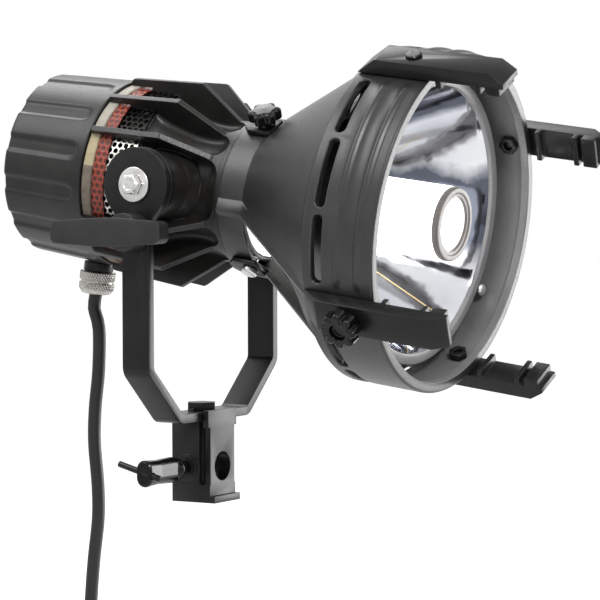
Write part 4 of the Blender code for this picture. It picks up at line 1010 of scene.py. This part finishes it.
def rear_cap():
    """The cap with shallow rounded flutes along its side."""
    side_slope = (CAP_BACK_R - CAP_FRONT_R) / (CAP_EDGE - CAP_FRONT)
    outline = rounded([
        (CAP_FRONT, CAP_BORE_R, 0.0004),
        (CAP_FRONT, CAP_FRONT_R, 0.0008),
        (CAP_EDGE - 0.0010, CAP_BACK_R, 0.0022),
        (CAP_BACK, CAP_BACK_R - 0.0040, 0.0040),
        (CAP_BACK, 0, 0),
        (CAP_BACK + CAP_WALL, 0, 0),
        (CAP_BACK + CAP_WALL, CAP_BACK_R - CAP_WALL, 0.001),
        (CAP_FRONT - 0.006, CAP_FRONT_R - CAP_WALL, 0.0005),
        (CAP_FRONT - 0.006, CAP_BORE_R, 0.0003),
    ], 8)

    def fluted(height, r, angle):
        surface = CAP_FRONT_R + (height - CAP_FRONT) * side_slope
        if r < max(surface - 0.0025, 0.0470) or height > FLUTE_START:
            return height, r
        pitch = 2 * math.pi / FLUTES
        off = abs((angle / pitch) % 1 - 0.5) * pitch
        into = (FLUTE_START - height) / FLUTE_RUNOUT
        half = FLUTE_HALF * math.sqrt(max(0, 1 - (1 - min(1, into)) ** 2))
        if half <= 0.001:
            return height, r
        bowl = 1 - between(off / half, 0.55, 1.08)
        return height, r - FLUTE_DEPTH * bowl * between(into, 0, 0.35)

    def outer(first, second):
        return min(first[1], second[1]) > 0.0493

    body = turned("rear_cap_casting", dense(outline, 0.0012, outer), LAMP_AXIS,
                  FLUTES * 26, fluted, 50)
    hole = rod("gland_hole", 0.0068, -0.060, -0.040,
               HEAD @ Matrix.Translation((0, -GLAND_PLACE, 0)))
    combine(body, [hole])
    dress(body, CASTING, "head", "rear_cap")


def cable_gland():
    """Round gland base, and the silver nut with two knurled bands."""
    place = HEAD @ Matrix.Translation((0, -GLAND_PLACE, 0)) @ DOWN
    surface = 0.0516
    base_end = surface + 0.005
    base = turned("gland_base_moulding", rounded([
        (0.0449, GLAND_BORE_R, 0), (0.0449, 0.0065, 0), (surface, 0.0065, 0),
        (surface, 0.00825, 0.0003), (base_end, 0.00825, 0.0006), (base_end, GLAND_BORE_R, 0),
    ], 4), place, 96)
    dress(base, COATED, "head", "gland_base")
    start = base_end + GAP
    end = start + 0.0127
    outline = rounded([
        (start, GLAND_BORE_R, 0), (start, 0.0100, 0.0005), (start + 0.0046, 0.0100, 0.0003),
        (start + 0.0050, 0.0092, 0.0002), (start + 0.0060, 0.0092, 0.0002),
        (start + 0.0064, 0.0099, 0.0003), (end - 0.0030, 0.0099, 0.0006),
        (end - 0.0004, 0.0080, 0.0006), (end, 0.0060, 0.0003), (end, GLAND_BORE_R, 0),
    ], 4)

    def knurled(height, r, angle):
        if r < 0.0096:
            return height, r
        first = math.cos(40 * angle + (height - start) * 2600)
        second = math.cos(40 * angle - (height - start) * 2600)
        return height, r - 0.00055 * (1 - between(max(first, second), -0.2, 0.9))

    nut = turned("gland_nut_knurled", dense(outline, 0.00035), place, 320, knurled, 60)
    dress(nut, NICKEL, "head", "gland_nut")


# Reflector housing
def barrel_outline():
    shrink = SHELL * 1.15
    beads = []
    for place in reversed(BEAD_PLACES):
        beads += [(place + BEAD_HALF, BARREL_R, 0), (place - BEAD_HALF, BARREL_R, 0)]
    return rounded([
        (BARREL_FRONT, LIP_R + 0.0004, 0.0004),
        (BARREL_FRONT, BARREL_R, 0.0014),
        *beads,
        (BARREL_START - 0.0002, BARREL_R, 0.0022),
        (CONE_END, CONE_R, 0.0018),
        (COLLAR_END, COLLAR_R, 0.0015),
        (COLLAR_START, COLLAR_R, 0.0006),
        (COLLAR_START, COLLAR_R - SHELL, 0.0004),
        (COLLAR_END - 0.001, COLLAR_R - SHELL, 0),
        (CONE_END, CONE_R - shrink, 0),
        (BARREL_START - 0.0005, BARREL_INNER_R - 0.002, 0.0008),
        (BARREL_START + 0.0015, BARREL_INNER_R, 0.0015),
        (BARREL_FRONT - 0.005, BARREL_INNER_R, 0.0006),
        (BARREL_FRONT - 0.0045, LIP_R, 0.0005),
    ], 6)


def bead_rise(height, r, angle):
    """How far the barrel stands out at its two beads, which stop short of the ears."""
    rise = 0
    for place in BEAD_PLACES:
        off = abs(height - place) / BEAD_HALF
        if off < 1:
            rise = BEAD_RISE * math.cos(off * math.pi / 2) ** 1.2
    if rise == 0 or r < BARREL_R - 0.0003:
        return height, r
    turn = 90 - math.degrees(angle)
    share = 0
    for ear in (-30, -120, 60):
        off = abs((turn - (ear + 45) + 180) % 360 - 180)
        edge = math.degrees(BEAD_SPAN) / 2
        share = max(share, 1 - between(off, edge - 1.6, edge))
    return height, r + rise * share


def wrapped(name, outline, levels, spoke_place):
    """A cutter whose outline (along the arc, forward) is wrapped round the lamp axis.

    Each level is (radius, how far the outline grows there).
    """
    sections = []
    for radius, grow in levels:
        section = []
        for arc, place in grown(outline, grow):
            a = arc / BARREL_R
            section.append((radius * math.sin(a), -place, radius * math.cos(a)))
        sections.append(section)
    return loft(name, sections, spoke_place)


def slot_cutters():
    half = BARREL_R * SLOT_SPAN / 2
    end = SLOT_WIDTH * 0.49
    back, front = (SLOT_PLACE + side * SLOT_WIDTH / 2 for side in (-1, 1))
    corners = [(-half, back, end), (half, back, end), (half, front, end), (-half, front, end)]
    outline = dense(rounded(corners), 0.0025)
    levels = ((BARREL_INNER_R - 0.003, 0.0), (BARREL_INNER_R + 0.0002, 0.0),
              (BARREL_R - 0.0006, 0.0),
              (BARREL_R + 0.0001, 0.0006), (BARREL_R + 0.002, 0.0025))
    cutters = []
    for ear in EAR_ANGLES:
        for number in range(SLOTS_A_SIDE):
            angle = ear + 45 + SLOT_STEP * (number - (SLOTS_A_SIDE - 1) / 2)
            cutters.append(wrapped("slot", outline, levels, spoke(angle)))
    return cutters


def window_bars(angle):
    """The two raised side bars of a window, each with a crease along it."""
    inner = WINDOW_HALF
    outer = WINDOW_HALF + BAR_WIDTH
    crease = WINDOW_HALF + BAR_WIDTH * 0.52
    line = ((COLLAR_START, COLLAR_R), (COLLAR_END, COLLAR_R + 0.0006),
            (CONE_END + 0.0005, CONE_R + 0.0008))
    bars = []
    for sign in (-1, 1):
        sections = []
        for place, radius in line:
            height = math.sqrt(radius ** 2 - inner ** 2)
            side = math.sqrt(radius ** 2 - outer ** 2)
            low = math.sqrt((radius - SHELL) ** 2 - outer ** 2) - 0.0002
            section = ((inner, low), (inner, height - 0.0004), (inner + 0.0004, height),
                       (crease, height), (outer, side), (outer, low))
            sections.append([(sign * x, -place, z) for x, z in section])
        bars.append(loft("window_bar", sections, spoke(angle)))
    return bars


def window_cutter(angle):
    outline = rounded([
        (-WINDOW_HALF, -WINDOW_START, 0.0015), (WINDOW_HALF, -WINDOW_START, 0.0015),
        (WINDOW_HALF, -WINDOW_END, 0.012), (-WINDOW_HALF, -WINDOW_END, 0.012),
    ], 10)
    return prism("window", outline, 0.015, CONE_R + 0.004, spoke(angle))


def reflector_housing():
    def bead(first, second):
        level = min(first[1], second[1]) > BARREL_R - 1e-6
        return level and abs(first[0] - second[0]) < BEAD_HALF * 2 + 1e-6

    outline = dense(barrel_outline(), 0.0006, bead)
    body = turned("reflector_housing_casting", outline, LAMP_AXIS, 216, bead_rise)
    bars = window_bars(-WINDOW_ANGLE) + window_bars(WINDOW_ANGLE)
    post = [
        (POST_FRONT, POST_R + POST_THICK / 2), (POST_FRONT, BEZEL_R + GAP),
        (REFLECTOR_RIM - GAP, BEZEL_R + GAP),
        (REFLECTOR_RIM - GAP, REFLECTOR_RIM_R - 0.0025),
        (REFLECTOR_RIM - 0.010, REFLECTOR_RIM_R - 0.0025), (POST_BACK, 0.0735), (POST_BACK, 0.0750),
        (CONE_END, POST_R + POST_THICK / 2 - 0.001),
    ]
    posts = []
    for angle in POST_ANGLES:
        place = spoke(angle) @ ACROSS
        posts.append(prism("post", [(-d, r) for d, r in post],
                           -POST_THICK / 2, POST_THICK / 2, place))
    beds = []
    pockets = []
    holes = []
    for angle in EAR_ANGLES:
        holes.append(rod("ear_hole", 0.0025, 0.080, BARREL_R + 0.002,
                         spoke(angle, EAR_SCREW_PLACE), 32))
    for number, angle in enumerate(CLAMP_ANGLES):
        place = spoke(angle, CLAMP_PLACE)
        holes.append(rod("stud_hole", 0.0027, 0.030, COLLAR_R + 0.002, place, 32))
        pocket_r = 0.0065 if number else 0.011
        pockets.append(rod("pocket", pocket_r, COLLAR_R - 0.0001, COLLAR_R + 0.020, place, 64))
        beds.append(block("jaw_bed", (0.0146, 0.0186, 0.008), (0, 0.003, COLLAR_R + 0.0041), place))
    for cutters in (beds, pockets, holes):
        combine(body, cutters)
    combine(body, bars, "UNION")
    combine(body, posts, "UNION")
    combine(body, [window_cutter(-WINDOW_ANGLE), window_cutter(WINDOW_ANGLE)] + slot_cutters())
    dress(body, TURNED_CASTING, "front", "reflector_housing")
    # the inner barrel faces take the lighter grey that stands in for lamp light
    body.data.materials.append(INNER_WALL_PAINTED_LIGHT.material)
    to_axis = LAMP_AXIS.inverted()
    for face in body.data.polygons:
        centre = to_axis @ face.center
        outward = (to_axis.to_3x3() @ face.normal).xy
        if centre.z > BARREL_START and outward.dot(centre.xy) < -0.5 * centre.xy.length:
            if centre.xy.length > 0.0820:
                face.material_index = 1


def parabola_r(place):
    """The mirror's radius at a place forward of the tilt axis."""
    return math.sqrt(4 * FOCAL * (place - (ARC_PLACE - FOCAL)))


def reflector():
    count = 60
    start_r = parabola_r(REFLECTOR_START)
    rim_r = parabola_r(REFLECTOR_RIM)
    radii = [start_r + (rim_r - start_r) * i / count for i in range(count + 1)]
    bowl = [(ARC_PLACE - FOCAL + r ** 2 / (4 * FOCAL), r) for r in radii]
    back = [(place, r + REFLECTOR_WALL) for place, r in reversed(bowl)]
    front = REFLECTOR_RIM + REFLECTOR_WALL
    flange = [(front, rim_r + 0.0006), (front, REFLECTOR_RIM_R), (REFLECTOR_RIM, REFLECTOR_RIM_R)]
    shell = turned("reflector_mirror", flange + back + bowl, LAMP_AXIS, 256, angle=50)
    dress(shell, MIRROR, "front", "reflector")
    shell.data.materials.append(SPUN_BACK.material)
    for face in shell.data.polygons:
        outward = (LAMP_AXIS.inverted().to_3x3() @ face.normal).xy
        if outward.dot((LAMP_AXIS.inverted() @ face.center).xy) > 0:
            face.material_index = 1
    low = front + GAP
    bezel = turned("reflector_bezel_ring", rounded([
        (low + 0.0025, rim_r, 0.0006), (low + 0.0025, BEZEL_R, 0.0007), (low, BEZEL_R, 0.0003),
        (low, rim_r, 0.0003),
    ], 5), LAMP_AXIS, 240)
    dress(bezel, ANODISED, "front", "reflector_bezel")


# Knobs, T screw and pivot hardware
def lobes(angle, count, depth, power):
    """How deep the surface lies between a grip's lobes, 0 on a lobe."""
    return depth * (0.5 - 0.5 * math.cos(count * angle)) ** power


def star_knob():
    """Moulded knob with eight lobes and a sunk centre, on the ear it clamps."""
    top = 0.1085
    outline = rounded([
        (EAR_SCREW_LOW, 0, 0), (EAR_SCREW_LOW, 0.0022, 0.0003), (EAR_TOP, 0.0022, 0),
        (EAR_TOP, 0.0060, 0.0003), (0.1003, 0.0060, 0.0006), (0.1005, 0.0100, 0.0012),
        (top, 0.0100, 0.0018), (top, 0.0046, 0.0007), (top - 0.0028, 0.0038, 0.0006),
        (top - 0.0028, 0, 0),
    ], 5)

    def lobed(height, r, angle):
        share = between(r, 0.0062, 0.0088) if height > 0.0999 else 0
        return height, r - lobes(angle, 8, 0.0026, 1.5) * share

    place = spoke(EAR_ANGLES[1], EAR_SCREW_PLACE)
    knob = turned("star_knob", dense(outline, 0.0008), place, 192, lobed, 50)
    dress(knob, GLOSSY, "ear_knob", "ear_knob")


def domed_knob():
    """Moulded knob with six lobes and a domed top, on the collar."""
    low, stem_top, top = 0.0378, 0.0446, 0.0545
    outline = rounded([
        (low, 0, 0), (low, 0.0024, 0.0003), (stem_top, 0.0024, 0), (stem_top, 0.0048, 0.0003),
        (0.0474, 0.0048, 0.0006), (0.0476, 0.0088, 0.0010), (0.0530, 0.0090, 0.0016),
        (top - 0.0005, 0.0060, 0.0040), (top, 0, 0),
    ], 6)

    def lobed(height, r, angle):
        share = between(r, 0.0050, 0.0078) if height > 0.0470 else 0
        return height, r - lobes(angle, 6, 0.0022, 1.2) * share

    place = spoke(CLAMP_ANGLES[0], CLAMP_PLACE)
    knob = turned("domed_knob", dense(outline, 0.0008), place, 144, lobed, 50)
    dress(knob, GLOSSY, "collar_knob", "collar_knob")


def t_screw():
    """Moulded grip with two lobes and a tapered neck, on a steel shaft, and its cross bar."""
    outline = rounded([
        (SHAFT_START, 0, 0), (SHAFT_START, CLAMP_SHAFT_R, 0.0004), (0.0210, CLAMP_SHAFT_R, 0.0003),
        (0.0212, 0.0046, 0.0005), (0.0244, 0.0050, 0.0005), (GRIP_START, 0.0064, 0.0006),
        (0.0300, 0.0070, 0.002), (0.0440, 0.0066, 0.008), (GRIP_END - 0.0012, GRIP_R, 0.0008),
        (GRIP_END - 0.0002, 0.0062, 0.0004), (GRIP_END - 0.0004, 0, 0),
    ], 6)

    def lobed(height, r, angle):
        share = between(height, 0.0255, 0.0300) * between(r, 0.0030, 0.0060)
        return height, r - lobes(angle, 2, 0.0023, 1.2) * share

    place = Matrix.Translation((0, CLAMP_Y, CLAMP_Z)) @ NEAR_SIDE
    grip = turned("t_screw", dense(outline, 0.0009), place, 96, lobed, 50)
    slope = Matrix.Translation((-BAR_PLACE, CLAMP_Y, CLAMP_Z))
    slope = slope @ Matrix.Rotation(math.pi / 2 + BAR_SLOPE, 4, "X")
    combine(grip, [rod("bar_hole", BAR_R + GAP, -0.009, 0.009, slope, 32)])
    dress(grip, GLOSSY, "clamp_screw", "clamp_screw")
    bar = turned("cross_bar", rounded([
        (-0.0176, 0, 0), (-0.0176, BAR_R, 0.0006), (0.0097, BAR_R, 0.0006), (0.0097, 0, 0),
    ], 4), slope, 48)
    dress(bar, GLOSSY, "clamp_screw", "tommy_bar")


def pivot_hardware(word, turn):
    """Washer, hexagon bolt and friction disc on one end of the tilt axis."""
    place = Matrix.Translation((0, 0, TILT_AXIS_Z)) @ turn

    def flat_ring(name, low, top, radius, edge, frame_of_ring, steps):
        return turned(name + word, rounded([
            (low, PIVOT_R + GAP, 0.0002), (low, radius, edge),
            (top, radius, 0.0005), (top, PIVOT_R + GAP, 0.0002),
        ], 4), frame_of_ring, steps)

    def hexagon(height, r, angle):
        if height < BOLT_LOW or r < PIVOT_R + 0.0001:
            return height, r
        off = (angle + math.pi / 6) % (math.pi / 3) - math.pi / 6
        return height, min(r, PIVOT_HEX / 2 / math.cos(off))

    washer = flat_ring("washer_", WASHER_LOW, WASHER_TOP, WASHER_R, 0.0003, place, 96)
    dress(washer, BRIGHT, "yoke", "pivot_washer_" + word)
    corner = PIVOT_HEX / 2 / math.cos(math.pi / 6)
    bolt = turned("hex_bolt_" + word, [
        (SHANK_END, 0), (SHANK_END, PIVOT_R - 0.0004), (SHANK_END + 0.0004, PIVOT_R),
        (BOLT_LOW, PIVOT_R), (BOLT_LOW, corner - 0.0004), (BOLT_LOW + 0.0004, corner),
        (BOLT_TOP - 0.0008, corner), (BOLT_TOP, corner - 0.0012), (BOLT_TOP, 0.0030),
        (BOLT_TOP - 0.0004, 0.0026), (BOLT_TOP - 0.0004, 0),
    ], place, 96, hexagon, 25)
    dress(bolt, BRIGHT, "yoke", "pivot_bolt_" + word)
    disc = flat_ring("disc_", DISC_LOW, DISC_TOP, DISC_R, 0.0005, HEAD @ turn, 144)
    dress(disc, COATED, "head", "friction_disc_" + word)


def beaker():
    """Frosted tube with its end ring and the lens in it."""
    tube_end = 0.1525
    body = turned("beaker_tube", rounded([
        (tube_end, 0.0175, 0.0004), (tube_end, BEAKER_R, 0.0006),
        (0.0223, BEAKER_R, 0.0004), (0.0223, 0.0175, 0.0003),
    ], 4), LAMP_AXIS, 144)
    dress(body, FROSTED, "head", "beaker")
    low = tube_end + GAP
    rim = turned("beaker_end_ring", rounded([
        (low, 0.0144, 0.0002), (low, BEAKER_R, 0.0003), (low + 0.0035, 0.0193, 0.0009),
        (low + 0.0035, 0.0166, 0.0004), (low + 0.0028, 0.0160, 0.0003),
        (low + 0.0028, 0.0144, 0.0003),
    ], 4), LAMP_AXIS, 144)
    dress(rim, END_RING, "head", "beaker_rim")
    turns = [math.pi / 2 * i / 12 for i in range(13)]
    crown = [(low + 0.0013 + 0.0020 * math.cos(a), LENS_R * math.sin(a)) for a in turns]
    back = [(low + GAP, LENS_R), (low + GAP, 0)]
    lens = turned("beaker_lens_dome", crown + back, LAMP_AXIS, 96)
    dress(lens, LENS_GLASS, "head", "beaker_lens")


def guard_wire():
    """A thin wire across the mirror, under the beaker."""
    ends = ((-0.0560, -0.1128, -0.0121), (-0.0125, -0.1200, -0.0295), (0.0405, -0.1285, -0.0507))
    dress(tube("guard_wire", [HEAD @ Vector(end) for end in ends], 0.00035, 12), BRASS, "front")


def slotted_screw(number):
    """Low screw head with a slot, on the ear it holds."""
    place = spoke(EAR_ANGLES[number - 1], EAR_SCREW_PLACE)
    head = turned("slotted_screw", rounded([
        (EAR_SCREW_LOW, 0, 0), (EAR_SCREW_LOW, 0.0020, 0.0004), (EAR_TOP - 0.0001, 0.0022, 0),
        (EAR_TOP, 0.0042, 0.0002), (EAR_TOP + 0.0013, 0.0041, 0.0006), (EAR_TOP + 0.0013, 0, 0),
    ], 4), place, 64)
    turn = Matrix.Rotation(math.radians(35), 4, "Z")
    combine(head, [block("slot", (0.012, 0.0010, 0.0018), (0, 0, EAR_TOP + 0.0016), place @ turn)])
    dress(head, COATED, "front", f"ear_screw_{number}")


# CAD nodes with rounded edges: finish, body, width of the rounding, names
REFINED = (
    (COATED, "yoke", 0.0005, ["receiver_block"]),
    (COATED, "yoke", 0.0006, ["yoke"]),
    (COATED, "yoke", 0.0008, ["base_bolt"]),
    (COATED, "yoke", 0.0003, ["base_pin"]),
    (TEXTURED, "tilt_lever", 0.0006, ["tilt_lever"]),
    (COATED, "front", 0.0006, [f"ear_{number}" for number in (1, 2, 3, 4)]),
    (COATED, "front", 0.0003, [f"ear_nut_{number}" for number in (1, 2, 3, 4)]),
    (COATED, "front", 0.0005, [f"collar_jaw_{number}" for number in (1, 2, 3)]),
    (BRIGHT, "front", 0.0004, ["clamp_screw_2", "clamp_screw_3"]),
    (BRIGHT, "front", 0.0003, [f"bezel_screw_{number}" for number in (1, 2, 3)]),
)

# CAD nodes that keep their own shape
KEPT = {
    BRIGHT: ("clamp_shoe", "lever_stud", "socket_plate", "beaker_holder"),
    CREAM: ("lamp_socket",),
    PLASTIC: ("igniter_block",),
    CLEAR: ("lamp",),
}


def finish_kept_nodes():
    for finish, names in KEPT.items():
        for name in names:
            for slot in frame["nodes"][name].material_slots:
                slot.material = finish.material


make_camera()
cord()
floor()
world()
lights()
lamp_housing()
screen_and_rings()
rear_cap()
cable_gland()
reflector_housing()
reflector()
star_knob()
domed_knob()
t_screw()
for word, side in (("near", NEAR_SIDE), ("far", FAR_SIDE)):
    pivot_hardware(word, side)
beaker()
guard_wire()
for ear_number in (1, 3, 4):
    slotted_screw(ear_number)
for node_finish, node_body, edge_width, node_names in REFINED:
    for node_name in node_names:
        refined(node_name, node_finish, node_body, edge_width)
finish_kept_nodes()

bpy.context.scene.view_settings.view_transform = "Standard"
